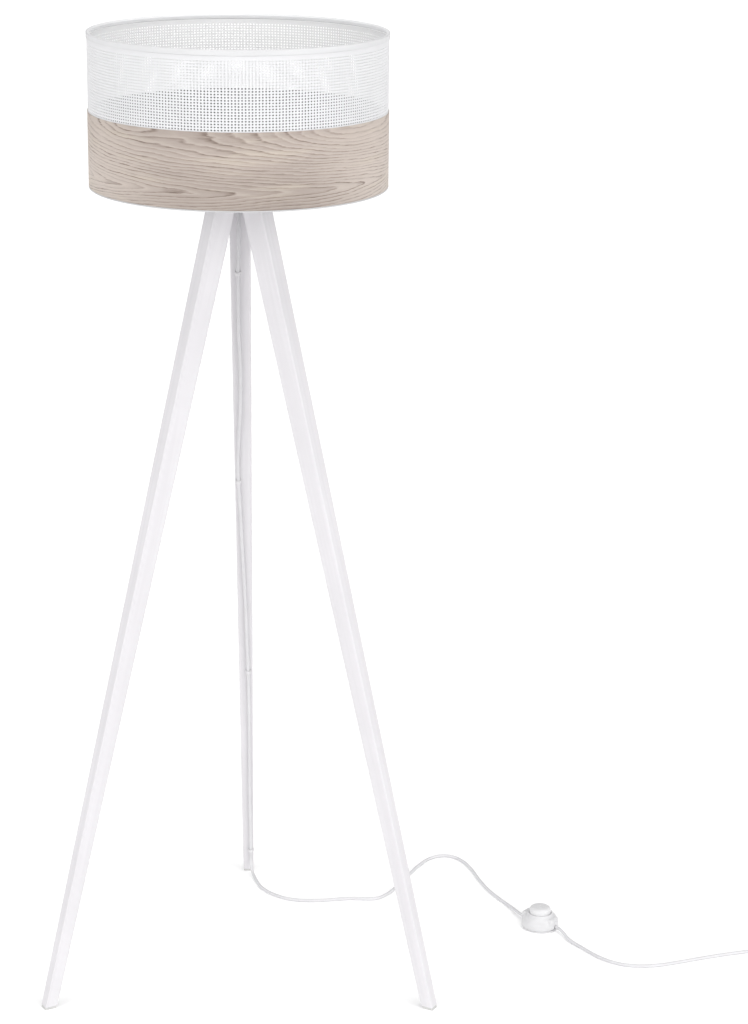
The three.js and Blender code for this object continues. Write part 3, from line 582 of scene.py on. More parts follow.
# ---- sizes shared with the CAD model
SHADE_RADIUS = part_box("veneer_band")[1].x - AXIS.x
SHADE_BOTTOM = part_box("rim_tape_bottom")[0].z
SHADE_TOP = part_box("rim_tape_top")[1].z
TOP_TAPE_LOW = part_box("rim_tape_top")[0].z
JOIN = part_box("veneer_band")[1].z
SHEET_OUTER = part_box("openwork_band")[1].x - AXIS.x
SHEET_INNER = SHEET_OUTER - 0.8 * MM
GRAIN_SHIFT = 2.0
ARCH_LINE = SHADE_BOTTOM + 0.020
RINGS_PER_METRE = 205
RING_SLANT = 13.0  # rings gained for each metre round the shade

LEG_LEAN = 0.2531
FOOT_RADIUS = 0.3712
FOOT_DEPTH = 0.0213
HEAD_DEPTH = 0.0372
HEAD_HEIGHT = 1.333
CORD_RADIUS = 2.8 * MM
SWITCH_TURN = math.radians(-40)
GAP = 0.3 * MM

# ---- finishes
FINISH = {
    "hub": painted_wood("painted_hub"),
    "veneer": oak_veneer(),
    "openwork": openwork_cloth(),
    "laminate": liner_painted_shade(),
    # painted light: the top tape's outer part is darker against the light from above and its inner part
    # lighter against the shade inside
    "top_tape_painted_light": rim_tape_material("top_rim_tape_painted_light", 0.66, 0.82),
    "bottom_tape": rim_tape_material("bottom_rim_tape", 0.52, 0.50),
    "plastic": moulded("white_plastic", (0.655, 0.652, 0.663), 0.3, 0.46),
    "button": moulded("button_plastic", (0.70, 0.698, 0.707), 0.24, 0.4, depth=0.00003),
    "clip": moulded("clip_plastic", (0.69, 0.68, 0.695), 0.34, 0.5),
    "inner": moulded("inner_plastic", (0.10, 0.10, 0.10), 0.4, 0.6),
    "nylon": moulded("glide_nylon", (0.56, 0.56, 0.55), 0.45, 0.62, texture=900, depth=0.0001, dust=0.2),
    "wire": moulded("coated_wire", (0.72, 0.72, 0.72), 0.32, 0.48, texture=1400, depth=0.00008),
    "steel": metal("plated_steel", (0.62, 0.63, 0.65), 0.22, 0.42),
    "brass": metal("brass", (0.72, 0.54, 0.26), 0.24, 0.42),
    "vinyl": vinyl(),
    "opal": opal(),
}

for side, angle in (("left", 210), ("right", 330), ("rear", 90)):
    FINISH[f"leg_{side}"] = painted_wood(f"painted_leg_{side}", angle)


# ---- cords
def leg_face(height):
    """How far from the axis the rear leg's inner face is at a height."""
    depth = FOOT_DEPTH + (HEAD_DEPTH - FOOT_DEPTH) * height / HEAD_HEIGHT
    return FOOT_RADIUS - LEG_LEAN * height - depth / 2


def on_leg(across, height):
    lean = (leg_face(0) - leg_face(HEAD_HEIGHT)) / HEAD_HEIGHT
    out = Vector((0, -1, -lean)).normalized()
    return at(across, leg_face(height), height) + out * (CORD_RADIUS + GAP)


# Cord points in millimetres: on the leg (across the face, height), elsewhere (x, y, height).
# One without a height lies on the floor.
LEG_CORD_TOP = [
    (0, 0, 1362.3), (0, 0, 1350.5), (0, 0, 1335), (0, 0, 1327), (-0.6, 2, 1312), (-1.2, 9.5, 1293),
    (-2, 21, 1267),
]
LEG_CORD = [
    (-3, 1240), (-4, 1215), (-4, 1168), (-4, 1108), (-2, 1050), (-2.5, 985), (-4, 950), (-7, 905),
    (-8.5, 862), (-8, 830), (-6, 784), (-3, 700), (1, 594), (3, 500), (4.5, 445), (5, 384), (5, 275),
    (4.5, 165), (5, 90), (5, 50), (5, 40),
]
FOOT_CORD = [
    (5, 39.7), (5, 28.5),
]
FLOOR_CORD_A = [
    (5.8, 346.6, 15.5), (8.5, 337.5, 7), (12, 326, 4), (17, 308, 3.1), (29, 277), (58, 244), (88, 228.5),
    (119, 225), (152, 228), (178, 232.5), (200, 234), (222, 232.5), (240, 235), (256, 249), (275, 280),
    (303, 340), (325, 384), (347, 413), (368, 423.5), (388, 419), (404, 402), (418, 372), (434, 314),
    (448, 272), (463, 240), (480, 207, 3.6), (487.5, 189, 5.6), (492.5, 175, 7.4), (498, 161.5, 8.4),
    (504.5, 151, 8.5), (510.9, 145.6, 8.5), (517.3, 140.2, 8.5), (523.8, 134.8, 8.5),
]
FLOOR_CORD_B = [
    (541.2, 120.2, 8.5), (547.7, 114.8, 8.5), (554.1, 109.4, 8.5), (560.5, 104, 8.5), (566.5, 94.5, 8.3),
    (572, 82, 7), (578.5, 66, 4.9), (588, 51, 3.2), (600, 34.5), (611, 18), (633, -9), (655, -26),
    (678, -35), (703, -37), (731, -33), (765, -22), (806, -7), (850, 8), (894, 20.4), (914, 25, 3.1),
    (930, 27.6, 3.4),
]
CORD_LIES = 2.9
COIL_CENTRE = (0.952, 0.062)
COIL_OUTER, COIL_INNER = 0.0338, 0.0282
COIL_LOW, COIL_HIGH = 0.0037, 0.0093
TAIL = [(986.6, 83.4, 7.4), (987.6, 90, 6.9), (988.4, 97, 6.85), (988.8, 104, 6.85)]
COIL_RADIUS = 0.031
TIE_ANGLE = math.radians(120)
TIE_HALF = 6 * MM


def laid(points):
    """Cord points in millimetres, placed."""
    return [at(*(MM * c for c in (*point, CORD_LIES)[:3])) for point in points]


def held_on_leg(points):
    return [on_leg(MM * across, MM * height) for across, height in points]


def blend_steps(turns, *stops):
    """The value at a number of turns, from (turns, value) stops joined by soft steps."""
    for (start, low), (end, high) in zip(stops, stops[1:]):
        if turns <= end:
            return low + (high - low) * soft_step((turns - start) / (end - start))
    return stops[-1][1]


def coil_points():
    """Four turns, two side by side and two on top: out, in, up, out again."""
    start, end = -0.245, 3.99
    points = []
    steps = 68
    for i in range(steps + 1):
        turns = start + (end - start) * i / steps
        done = turns - start
        inwards = ((0.9, COIL_OUTER), (1.15, COIL_INNER))
        radius = blend_steps(done, (0, COIL_OUTER), *inwards, (3.0, COIL_INNER), (3.25, COIL_OUTER))
        height = blend_steps(done, (0, COIL_LOW), (1.95, COIL_LOW), (2.2, COIL_HIGH))
        angle = turns * TAU
        points.append(at(*COIL_CENTRE, height) + radius * Vector((math.cos(angle), math.sin(angle), 0)))
    return points


def make_cords():
    down_leg = laid(LEG_CORD_TOP) + held_on_leg(LEG_CORD)
    leg = curve_piece("cord_down_leg", down_leg, CORD_RADIUS, FINISH["vinyl"])
    belongs(leg, "lamp_frame", "cord_sheath", "cord_leg")

    to_switch = held_on_leg(FOOT_CORD) + laid(FLOOR_CORD_A)
    first = curve_piece("cord_to_switch", to_switch, CORD_RADIUS, FINISH["vinyl"])
    belongs(first, "lamp_frame", "cord_sheath", "cord_floor_a")

    to_plug = laid(FLOOR_CORD_B) + coil_points() + laid(TAIL)
    second = curve_piece("cord_to_plug", to_plug, CORD_RADIUS, FINISH["vinyl"])
    belongs(second, "lamp_frame", "cord_sheath", "cord_floor_b", "cord_coil", "cord_tail")


# ---- coil tie and plug
def make_tie():
    """A soft strap round the coil's bundle, its edges rounded over."""
    top = heights("coil_tie")[1]
    middle = Vector((0, top / 2))

    def loop(y, inset, corner, tuck):
        """One line round the bundle, inset from the strap's outside and moved out from the middle by tuck."""
        reach = TIE_HALF - inset
        corners = [(-reach, inset), (reach, inset), (reach, top - inset), (-reach, top - inset)]
        line = [point + (point - middle).normalized() * tuck for point in eased(corners, corner, 6)]
        return [(point.x, y, max(0.0, point.y)) for point in line]

    flare = 0.25 * MM
    rows = ((-3.5 * MM, flare), (-2.9 * MM, 0), (2.9 * MM, 0), (3.5 * MM, flare))
    rings = [loop(y, 0, 3.2 * MM, -tuck) for y, tuck in rows]
    rings += [loop(y, 0.6 * MM, 2.6 * MM, tuck) for y, tuck in reversed(rows)]
    out = Vector((math.cos(TIE_ANGLE), math.sin(TIE_ANGLE), 0))
    tie = loft("coil_strap", rings, FINISH["wire"], at(*COIL_CENTRE, 0) + COIL_RADIUS * out, ends="joined")
    swing(tie, TIE_ANGLE)
    return belongs(tie, "lamp_frame", "white_plastic", "coil_tie")


def squircle(width, height, along, power, lift, sides=40):
    """A ring between a circle (power 2) and a rounded rectangle (higher), standing across the Y axis."""
    ring = []
    for i in range(sides):
        angle = i / sides * TAU
        cosine, sine = math.cos(angle), math.sin(angle)
        x = math.copysign(abs(cosine) ** (2 / power), cosine) * width / 2
        z = math.copysign(abs(sine) ** (2 / power), sine) * height / 2
        ring.append((x, along, z + lift))
    return ring


def disc(diameter, along, lift, sides=24):
    return squircle(diameter, diameter, along, 2, lift, sides)


def make_plug():
    low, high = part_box("plug_body")
    relief_low, relief_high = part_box("plug_relief")
    centre = Vector(((low.x + high.x) / 2, low.y, 0))
    width, height, length = high.x - low.x, high.z, high.y - low.y
    lift = height / 2
    # body: a rounded neck that swells to the flat face the pins stand on
    shape = [
        (0.0, 0.50, 0.80, 2.3), (0.04, 0.56, 0.86, 2.4), (0.16, 0.62, 0.9, 2.8), (0.30, 0.74, 0.94, 3.4),
        (0.46, 0.92, 0.98, 4.2), (0.60, 0.99, 1.0, 4.8), (0.75, 1.0, 1.0, 5.2), (0.93, 0.97, 0.99, 5.2),
        (0.975, 0.955, 0.97, 5.0), (1.0, 0.91, 0.90, 4.6),
    ]
    rings = [squircle(w * width, h * height, t * length, power, lift) for t, w, h, power in shape]
    body = loft("plug_shell", rings, FINISH["plastic"], centre)
    # four finger grooves on each broad side
    for side in (-1, 1):
        for k in range(4):
            middle = Vector((0, (0.5 + 0.09 * k) * length, lift + side * 7.35 * MM))
            half = Vector((8, 0.45, 0.75)) * MM
            groove = block("groove", middle - half, middle + half, FINISH["plastic"], centre)
            boolean(body, groove, "DIFFERENCE")
    belongs(body, "lamp_frame", "white_plastic", "plug_body")

    # strain relief: a slotted cone, narrow towards the cord
    start, reach = relief_low.y - centre.y, relief_high.y - relief_low.y
    rings = []
    ribs = 6
    for k in range(ribs):
        for t, grow in ((0.0, 0.0), (0.06, 0.25), (0.55, 0.25), (0.62, 0.0), (0.70, -0.75), (0.92, -0.75)):
            along = (k + t) / ribs
            radius = 3.9 * MM + 2.0 * MM * along + grow * MM
            rings.append(disc(2 * radius, start + along * reach, lift, 28))
    rings.append(disc(11.6 * MM, start + reach + 0.3 * MM, lift, 28))
    relief = loft("plug_strain_relief", rings, FINISH["plastic"], centre)
    belongs(relief, "lamp_frame", "white_plastic", "plug_relief")

    pieces = [body, relief]
    for i, node in enumerate(("plug_pin_1", "plug_pin_2")):
        pin_low, pin_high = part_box(node)
        middle = Vector(((pin_low.x + pin_high.x) / 2, pin_low.y, 0))
        reach = pin_high.y - pin_low.y
        sleeve_end = 0.62 * reach
        outline = [(4 * MM, 0), *above(sleeve_end, (4, -0.3), (3.5, 0))]
        sleeve = [disc(diameter, along, lift) for diameter, along in outline]
        collar = loft(f"pin_sleeve_{i + 1}", sleeve, FINISH["inner"], middle)
        belongs(collar, "lamp_frame", "inner_plastic")
        outline = above(sleeve_end, (3.4, -1), (3.9, 0.2))
        outline += above(reach, (3.9, -1.6), (3.5, -0.8), (2.5, -0.2), (1, 0))
        tip = [disc(diameter, along, lift) for diameter, along in outline]
        pin = loft(f"pin_tip_{i + 1}", tip, FINISH["steel"], middle)
        belongs(pin, "lamp_frame", "steel", node)
        pieces += [collar, pin]
    return pieces


# ---- foot switch
def make_switch():
    button_low, button_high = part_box("switch_button")
    bottom, top = heights("switch_housing")
    base_top = heights("switch_base")[1]
    centre = (button_low + button_high) / 2
    centre.z = 0
    wall = 2.2 * MM
    button_radius = (button_high.x - button_low.x) / 2 - 2.2 * MM

    def dome(shrink, low, high):
        """The housing's outline: a bell whose wall leans in and rolls over to a collar round the button."""
        bell = [(33.0, 4.4), (32.9, 8), (32.2, 12.5), (30.8, 16.5), (28.6, 20.2), (25.8, 23.4), (23.6, 25.6)]
        wall_line = [(radius * MM - shrink, height * MM) for radius, height in bell]
        foot = [(0, low), (32.2 * MM - shrink, low), (32.8 * MM - shrink, low + MM)]
        collar = [(22.4 * MM - shrink, high - 0.5 * MM), (21.6 * MM - shrink, high), (0, high)]
        return foot + wall_line + collar

    shell = lathe("switch_shell", dome(0, bottom, top), FINISH["plastic"], 120, centre, closed=False)
    for reach, half, height, ease in ((33.4, 12.5, 24, 4.4), (34.8, 9.2, 22, 3.4)):
        ears = block("ears", (-reach * MM, -half * MM, bottom), (reach * MM, half * MM, height * MM),
                     FINISH["plastic"], centre, ease * MM)
        for vertex in ears.data.vertices:
            vertex.co.z = max(vertex.co.z, bottom)
        swing(ears, SWITCH_TURN)
        boolean(shell, ears, "UNION")
    hollow = lathe("hollow", dome(wall, bottom - MM, top - wall), FINISH["plastic"], 96, centre, closed=False)
    boolean(shell, hollow, "DIFFERENCE")
    close, wide = button_radius + 0.35 * MM, button_radius + 0.9 * MM
    well = [(0, top - 8 * MM), (close, top - 8 * MM), (close, top - 0.6 * MM), (wide, top + 0.1 * MM),
            (wide, top + MM), (0, top + MM)]
    boolean(shell, lathe("well", well, FINISH["plastic"], 120, centre, closed=False), "DIFFERENCE")
    # the cord's way through
    way, cord_height = 3.3 * MM, 8.5 * MM
    through = 40 * MM
    rings = [[(x, way * math.cos(a), cord_height + way * math.sin(a)) for a in angles(24)]
             for x in (-through, through)]
    hole = loft("cord_way", rings, FINISH["plastic"], centre)
    swing(hole, SWITCH_TURN)
    boolean(shell, hole, "DIFFERENCE")
    remesh = shell.modifiers.new("skin", "REMESH")
    remesh.mode = "VOXEL"
    remesh.voxel_size = 0.45 * MM
    relax = shell.modifiers.new("relax", "SMOOTH")
    relax.iterations = 7
    relax.factor = 0.5
    finish_modifiers(shell, 60)
    belongs(shell, "lamp_frame", "white_plastic", "switch_housing")

    # base plate: follows the housing, set back a little, with a soft lower edge
    rim = []
    for angle in angles(144):
        x, y = math.cos(angle), math.sin(angle)
        reach = 32.4 * MM
        if abs(y) < 0.42:
            reach = max(reach, min(34.2 * MM / max(abs(x), 1e-6), 9 * MM / max(abs(y), 1e-6)))
        rim.append((reach * x, reach * y))
    levels = ((0.0, 0.8), (0.35 * MM, 0.3), (0.9 * MM, 0.0), (base_top - 0.3 * MM, 0.0), (base_top, 0.3))
    rings = [[(x * (1 - inset / 31), y * (1 - inset / 31), z) for x, y in rim] for z, inset in levels]
    base = loft("switch_foot", rings, FINISH["plastic"], centre)
    swing(base, SWITCH_TURN)
    belongs(base, "lamp_frame", "white_plastic", "switch_base")

    # button: a shallow dome with a rolled shoulder, hollow below, its flange inside the housing
    crown = button_high.z + MM
    low = button_low.z
    shoulder = []
    for i in range(11):
        angle = math.pi / 2 * (1 - i / 10)
        radius = 12.5 * MM + (button_radius - 12.5 * MM) * math.cos(angle)
        shoulder.append((radius, crown - 0.5 * MM - 6.2 * MM * (1 - math.sin(angle))))
    flange = button_radius + 2.1 * MM
    inner = button_radius - 2.4 * MM
    outline = [
        (0, crown), (6 * MM, crown - 0.1 * MM), *shoulder, (button_radius, low + 2.9 * MM),
        (flange, low + 2.9 * MM), (flange, low), (inner, low), (inner, crown - 5.2 * MM),
        (inner - 2 * MM, crown - 3.2 * MM), (0, crown - 3.2 * MM),
    ]
    button = lathe("push_button", outline, FINISH["button"], 112, centre, closed=False)
    belongs(button, "foot_button", "white_plastic", "switch_button")

    inside = ["switch_screw_1", "switch_screw_2", "switch_mechanism", "switch_cord_clamp"]
    for node in inside:
        soften(node, 0.15 * MM, FINISH["steel" if "screw" in node else "inner"])
    return [shell, base, button, make_spring()] + [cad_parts[node] for node in inside]


def make_spring():
    """The coiled spring under the button; on the real switch it shortens as the button goes down."""
    low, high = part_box("switch_spring")
    wire = 0.6 * MM
    coil = (high.x - low.x) / 2 - wire
    tall = high.z - low.z
    turns, steps = 4, 24
    rings = []
    for i in range(turns * steps + 1):
        angle = i / steps * TAU
        out = Vector((math.cos(angle), math.sin(angle), 0))
        up = Vector((0, 0, 1))
        centre = coil * out + (wire + (tall - 2 * wire) * i / (turns * steps)) * up
        rings.append([centre + wire * (math.cos(a) * out + math.sin(a) * up) for a in angles(10)])
    foot = Vector(((low.x + high.x) / 2, (low.y + high.y) / 2, low.z))
    spring = loft("return_spring", rings, FINISH["steel"], foot)
    belongs(spring, "lamp_frame", "steel", "switch_spring")
    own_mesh(spring)
    return spring


# ---- shade
HOLES_ROUND = 288
HOLE_ROWS = 24
HOLE_SIZE = 0.53  # as a part of the pitch
CORNER_CUT = 0.32
HOLE_STRAY = 0.03
HEM_TOP = 6.5 * MM
HEM_BOTTOM = 0.6 * MM


def openwork_part(name, first, last):
    """A stretch of the openwork sheet, from one column of holes to another, cut right through."""
    random.seed(first)
    low, high = heights("openwork_band")
    start = JOIN + HEM_BOTTOM
    pitch = (TOP_TAPE_LOW - HEM_TOP - start) / HOLE_ROWS
    levels = [low] + [start + pitch * row for row in range(HOLE_ROWS + 1)] + [high]
    turn = TAU / HOLES_ROUND
    vertices, faces = [], []

    def corner(angle, height):
        """The outer and inner point at one place on the sheet; returns the outer one's number."""
        for radius in (SHEET_OUTER, SHEET_INNER):
            vertices.append((radius * math.sin(angle), -radius * math.cos(angle), height))
        return len(vertices) - 2

    def both_sides(loop):
        faces.append(loop)
        faces.append([i + 1 for i in reversed(loop)])

    def walls(line):
        """Joins the sheet's two faces along a line of corners."""
        faces.extend([a, b, b + 1, a + 1] for a, b in zip(line, line[1:]))

    grid = [[corner(column * turn, level) for level in levels] for column in range(first, last + 1)]
    for c in range(last - first):
        for r in range(len(levels) - 1):
            square = [grid[c][r], grid[c + 1][r], grid[c + 1][r + 1], grid[c][r + 1]]
            if r in (0, len(levels) - 2):
                both_sides(square)
                continue
            middle = (first + c + 0.5) * turn + random.uniform(-HOLE_STRAY, HOLE_STRAY) * turn
            height = (levels[r] + levels[r + 1]) / 2 + random.uniform(-HOLE_STRAY, HOLE_STRAY) * pitch
            half_turn = turn * HOLE_SIZE / 2 * random.uniform(0.94, 1.05)
            half_high = pitch * HOLE_SIZE / 2 * random.uniform(0.94, 1.05)
            hole = []
            for sx, sz in ((-1, -1), (1, -1), (1, 1), (-1, 1)):
                ends = [(sx, sz * (1 - 2 * CORNER_CUT)), (sx * (1 - 2 * CORNER_CUT), sz)]
                if sx * sz < 0:
                    ends.reverse()
                hole += [corner(middle + x * half_turn, height + z * half_high) for x, z in ends]
            for k in range(4):
                here, beyond = square[k], square[(k + 1) % 4]
                a, b, c_next = hole[2 * k], hole[2 * k + 1], hole[(2 * k + 2) % 8]
                both_sides([here, b, a])
                both_sides([here, beyond, c_next, b])
            walls([*hole, hole[0]])
    for line in (grid[0], grid[-1], [column[0] for column in grid], [column[-1] for column in grid]):
        walls(line)
    part = link_mesh(name, vertices, faces, FINISH["openwork"])
    return belongs(part, "shade", "openwork_sheet", "openwork_band")


def make_veneer():
    """One strip of veneer whose end laps over its start at the back."""
    low, high = heights("veneer_band")
    inner = SHADE_RADIUS - 0.8 * MM
    lap = math.radians(2.6)
    steps = 300
    # (out from the inner face, past the edge) in millimetres: four points at the bottom edge, four at the top
    section = [(0, 0.15), (0.15, 0), (0.65, 0), (0.8, 0.15), (0.8, -0.15), (0.65, 0), (0.15, 0), (0, -0.15)]
    rings = []
    for i in range(steps + 1):
        angle = math.pi + i / steps * (TAU + lap)
        lift = 0.85 * MM * soft_step((angle - math.pi - TAU + 2 * lap) / (2 * lap))
        ring = []
        for k, (across, past) in enumerate(section):
            radius = inner + across * MM + lift
            height = (low if k < 4 else high) + past * MM
            ring.append((radius * math.sin(angle), -radius * math.cos(angle), height))
        rings.append(ring)
    veneer = loft("veneer_sheet", rings, FINISH["veneer"], sharp=50)
    belongs(veneer, "shade", "oak_veneer", "veneer_band")


def make_rims():
    """A strip drawn over each rim and round its wire, then stuck to the inside just past it."""
    wall = 0.5 * MM
    outer = SHADE_RADIUS + 0.1 * MM
    wire_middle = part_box("ring_wire_top")[1].x - AXIS.x - 1.5 * MM
    back = SHEET_INNER - GAP

    def flutter(angle, height):
        """The faint waves of a strip laid by hand."""
        return 0.00007 * math.sin(23 * angle) + 0.00005 * math.sin(61 * angle + 900 * height)

    def strip(edge, way, outside):
        """(radius, height) points of the strip; way is 1 at the top rim and -1 at the bottom one."""
        wire = edge - way * 2.6 * MM
        tight = 1.8 * MM

        def turn(radius):
            return [(wire_middle - radius * math.sin(a), wire + way * radius * math.cos(a))
                    for a in (math.radians(15 * k) for k in range(8))]

        def side(shift):
            return [(outer - shift, edge - way * outside), (outer - shift, edge - way * (0.9 * MM + shift)),
                    (outer - shift - 0.6 * MM, edge - way * (0.35 * MM + shift))]

        past = [(back - wall, edge - way * 7.0 * MM), (back - wall, edge - way * 7.6 * MM),
                (back, edge - way * 7.6 * MM), (back, edge - way * 6.8 * MM)]
        return side(0) + turn(tight + wall) + past + turn(tight)[::-1] + side(wall)[::-1]

    for name, node, edge, way, outside in (
        ("top_rim", "rim_tape_top", SHADE_TOP, 1, SHADE_TOP - TOP_TAPE_LOW),
        ("bottom_rim", "rim_tape_bottom", SHADE_BOTTOM, -1, 2.6 * MM),
    ):
        finish = FINISH["top_tape_painted_light" if way > 0 else "bottom_tape"]
        rim = lathe(name, strip(edge, way, outside), finish, 240, wobble=flutter)
        belongs(rim, "shade", "rim_tape", node)


def make_spider():
    """The centre ring and the three spokes, with a bead of weld at each end."""
    low, high = heights("centre_ring")
    inner, outer = 20.3 * MM, 25 * MM
    outline = [(inner, low), (outer, low), (outer, high), (inner, high)]
    ring = lathe("fitter_ring", eased(outline, 0.7 * MM, 4), FINISH["wire"], 96)
    belongs(ring, "shade", "coated_wire", "centre_ring")
    radius = 1.6 * MM
    for i, angle in enumerate((90, 210, 330)):
        start = Vector((outer - 0.4 * MM, 0, high - radius))
        end = Vector((SHADE_RADIUS - 6.2 * MM, 0, SHADE_BOTTOM + 2.6 * MM))
        along = (end - start).normalized()
        side = Vector((0, 1, 0))
        up = along.cross(side)
        profile = [(-0.3, 1.0), (0.2, 1.6), (1.2, 1.75), (2.4, 1.35), (4.0, 1.0), (8.0, 1.0)]
        length = (end - start).length / MM
        stops = profile + [(length - d, r) for d, r in reversed(profile)]
        rings = []
        for d, r in stops:
            centre = start + along * d * MM
            ring = [centre + radius * r * (math.cos(a) * side + math.sin(a) * up) for a in angles(20)]
            # the weld is dressed flush with the ring, where the nut turns on it
            rings.append([(p.x, p.y, min(p.z, high)) for p in ring])
        spoke = loft(f"spoke_{i + 1}", rings, FINISH["wire"], AXIS)
        swing(spoke, math.radians(angle))
        belongs(spoke, "shade", "coated_wire", f"shade_spoke_{i + 1}")


def make_shade():
    half_way = HOLES_ROUND // 2
    openwork_part("openwork_right", 0, half_way)
    openwork_part("openwork_left", half_way, HOLES_ROUND)
    make_veneer()
    low, high = heights("veneer_liner")
    step = heights("openwork_band")[0] - GAP
    lip = SHEET_INNER - GAP
    outline = [
        (SHEET_INNER, low), (SHEET_OUTER, low), (SHEET_OUTER, step), (lip, step + 0.4 * MM), (lip, high),
        (lip - 0.8 * MM, high), (lip - 0.8 * MM, step - MM), (SHEET_INNER, step - 3 * MM),
    ]
    liner = lathe("lining", eased(outline, 0.2 * MM, 1), FINISH["laminate"], 240)
    belongs(liner, "shade", "shade_liner", "veneer_liner")
    make_rims()
    make_spider()
    for node in ("ring_wire_bottom", "ring_wire_top"):
        soften(node, 0, FINISH["wire"])


# ---- lampholder, ring nut and bulb
RIB_DEPTH = 0.22 * MM
GRIP_DEPTH = 0.5 * MM


def make_lampholder():
    base, cap_top = heights("lampholder_cap")
    outline = above(base, (5.3, 0), (16.4, 0), (18.6, 0.9), (19.7, 2.8), (20, 5.5), (20.4, 14), (17.8, 14),
                    (17.2, 5.4), (15.5, 3.4), (8.5, 3.2), (8.5, 7.2), (5.3, 7.2))

    def ribs(angle, height):
        """Fine upright grip ribs round the cap's wall."""
        return RIB_DEPTH * math.cos(48 * angle) if base + 5 * MM < height < cap_top - 1.5 * MM else 0.0

    cap = lathe("holder_cap", eased(outline, 0.6 * MM), FINISH["plastic"], 288, wobble=ribs)
    belongs(cap, "lamp_frame", "white_plastic", "lampholder_cap")

    bottom, top = heights("lampholder_body")
    shoulder = heights("centre_ring")[0] - GAP
    floor = shoulder - 1.5 * MM
    thread = []
    for i in range(int((top - shoulder - 4 * MM) / (2.5 * MM))):
        foot = shoulder + (1.6 + 2.5 * i) * MM
        thread += above(foot, (19, 0), (19.8, 0.7), (19.8, 1.2), (19, 1.9))
    outline = above(bottom, (17.8, 0), (20.5, 0))
    outline += above(shoulder, (20.6, -3), (24, -2.3), (24, 0), (19.4, 0)) + thread
    outline += above(top, (19.3, -1), (18.6, 0), (14.8, 0), (14.5, -0.8))
    outline += above(floor, (14.5, 0), (6, 0), (6, -3), (17.8, -3))
    body = lathe("holder_sleeve", eased(outline, 0.25 * MM, 2), FINISH["plastic"], 112)
    belongs(body, "lamp_frame", "white_plastic", "lampholder_body")

    bottom, top = heights("shade_ring_nut")
    outline = above(bottom, (20.3, 0), (25.2, 0), (25.6, 1.2)) + above(top, (25.6, -2), (23.6, 0), (20.3, 0))

    def grips(angle, height):
        """Rounded finger grips round the nut."""
        return GRIP_DEPTH * math.cos(24 * angle) if bottom + MM < height < top - 1.5 * MM else 0.0

    nut = lathe("ring_nut_grip", eased(outline, 0.8 * MM, 4), FINISH["plastic"], 240, wobble=grips)
    belongs(nut, "ring_nut", "white_plastic", "shade_ring_nut")
    for node in ("lampholder_core", "centre_contact", "side_contact"):
        soften(node, 0.15 * MM, FINISH["inner" if node == "lampholder_core" else "brass"])


def screw_shell(name, low, high, pitch, crest, root, material):
    """A rolled steel shell with a true helical thread, open at the foot."""
    foot_height, foot_radius, neck_radius = 1.4 * MM, 6.2 * MM, 9.5 * MM
    plain_low, plain_high = low + 4 * MM, high - 2.2 * MM
    rows = 64
    rings = []
    for r in range(rows + 1):
        height = low + (high - low) * r / rows
        taper = held((height - low - foot_height) / (2.6 * MM))
        fade = held((height - plain_low) / (1.5 * MM)) * held((plain_high - height) / (1.5 * MM))
        ring = []
        for angle in angles(96):
            wave = 0.5 + 0.5 * math.cos(TAU * (height - low) / pitch - angle)
            threaded = crest - (crest - root) * (1 - wave) * fade
            radius = neck_radius + (threaded - neck_radius) * math.sqrt(taper)
            if height < low + foot_height:
                radius = foot_radius + (neck_radius - foot_radius) * (height - low) / foot_height
            ring.append((radius * math.cos(angle), radius * math.sin(angle), height))
        rings.append(ring)
    shell = loft(name, rings, material, ends="open")
    thick = shell.modifiers.new("sheet", "SOLIDIFY")
    thick.thickness = 0.4 * MM
    thick.offset = -1
    return finish_modifiers(shell)


def make_bulb():
    tip = heights("bulb_contact")[0]
    contact = above(tip, (0, 0), (2.6, 0.1), (3.4, 0.7), (3.5, 1.1), (4.7, 1.5), (4.9, 3.2), (0, 3.2))
    end = lathe("bulb_end", eased(contact, 0.3 * MM, 2, closed=False), FINISH["inner"], 48, closed=False)
    belongs(end, "bulb_foot", "inner_plastic", "bulb_contact")

    low, high = heights("bulb_screw_cap")
    shell = screw_shell("bulb_screw_shell", low, high, 3.63 * MM, 13 * MM, 12.2 * MM, FINISH["steel"])
    belongs(shell, "bulb", "steel", "bulb_screw_cap")

    base_low, seat = heights("bulb_base")
    outline = above(base_low, (0, 0), (11.3, 0))
    outline += above(high + GAP, (11.3, 0), (13.4, 0), (13.9, 1.2), (15, 4.5), (17.4, 8.5))
    outline += above(seat, (19.6, -2.6), (20.5, -0.8), (20.5, 0), (0, 0))
    base = lathe("bulb_housing", eased(outline, 0.6 * MM, closed=False), FINISH["button"], 96, closed=False)
    belongs(base, "bulb", "white_plastic", "bulb_base")

    low, high = heights("bulb_globe")
    radius = 22.5 * MM
    centre = high - radius
    shape = []
    for shell_radius, order in ((radius, 1), (radius - 1.2 * MM, -1)):
        foot = math.asin((low - centre) / shell_radius)
        arc = [foot + (math.pi / 2 - foot) * i / 24 for i in range(25)][::order]
        shape += [(shell_radius * max(0.0, math.cos(a)), centre + shell_radius * math.sin(a)) for a in arc]
    globe = lathe("bulb_dome", shape, FINISH["opal"], 96)
    belongs(globe, "bulb", "opal_diffuser", "bulb_globe")


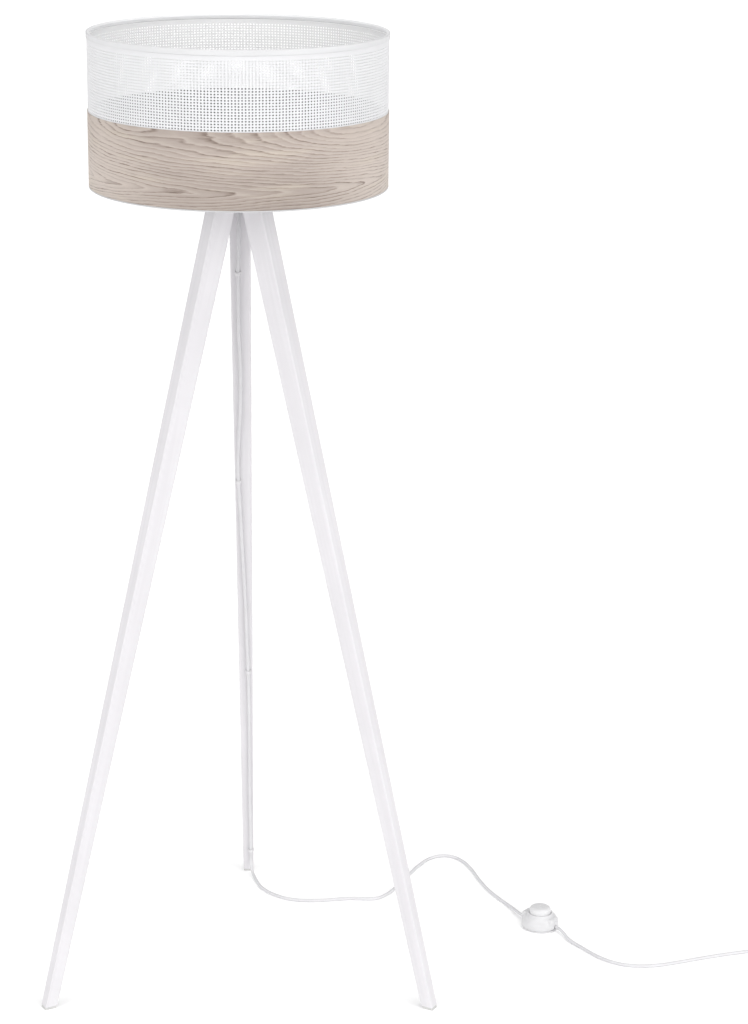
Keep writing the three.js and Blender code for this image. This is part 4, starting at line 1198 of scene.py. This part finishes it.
# ---- carried-over frame parts
def dress_frame():
    for side in ("left", "right", "rear"):
        soften(f"leg_{side}", 0, FINISH[f"leg_{side}"])
        soften(f"foot_glide_{side}", 0.3 * MM, FINISH["nylon"])
        soften(f"leg_insert_{side}", 0.2 * MM, FINISH["brass"])
        soften(f"leg_screw_{side}", 0.15 * MM, FINISH["steel"])
    soften("hub_disc", 0.3 * MM, FINISH["hub"])
    for node in ("threaded_tube", "tube_washer", "tube_nut"):
        soften(node, 0.2 * MM, FINISH["steel"])
    for i in range(4):
        soften(f"cord_clip_{i + 1}", 0.15 * MM, FINISH["clip"])


# ---- floor and light
WORLD_STRENGTH = 0.42


def make_stage():
    build = bmesh.new()
    bmesh.ops.create_grid(build, x_segments=1, y_segments=1, size=60)
    # a lit floor, as on a light table
    g = Graph("floor_paper", roughness=0.9, Emission_Color=(1, 1, 1, 1), Emission_Strength=0.12)
    cloud = g.noise(g.place, 3, 2)
    g.set("Base Color", g.mix(g.spread(cloud, 0.3, 0.7), (0.95, 0.95, 0.95), (0.94, 0.94, 0.94)))
    floor = mesh_piece("floor", build, g.material, (0, 0, -0.2 * MM))
    floor.data.shade_flat()


def sun(name, towards, strength, spread):
    """A broad soft light far away, shining from the direction towards."""
    data = bpy.data.lights.new(name, "SUN")
    data.energy = strength
    data.angle = math.radians(spread)
    light = show(name, data)
    light.rotation_euler = Vector(towards).to_track_quat("Z", "Y").to_euler()


def make_light():
    world = bpy.data.worlds.new("studio")
    world.use_nodes = True
    background = world.node_tree.nodes["Background"]
    background.inputs["Color"].default_value = (1, 1, 1, 1)
    background.inputs["Strength"].default_value = WORLD_STRENGTH
    bpy.context.scene.world = world
    sun("left_softbox", (-0.72, -0.70, 0.16), 1.5, 50)
    sun("right_softbox", (0.76, -0.65, 0.16), 1.7, 50)
    sun("top_softbox", (0.05, -0.22, 1), 1.5, 70)
    bpy.context.scene.view_settings.view_transform = "Standard"


# ---- assembly
make_camera()
switch_pieces = make_switch()
plug_pieces = make_plug() + [make_tie()]
make_cords()
make_shade()
make_lampholder()
make_bulb()
dress_frame()
make_stage()
make_light()

bpy.context.view_layer.update()
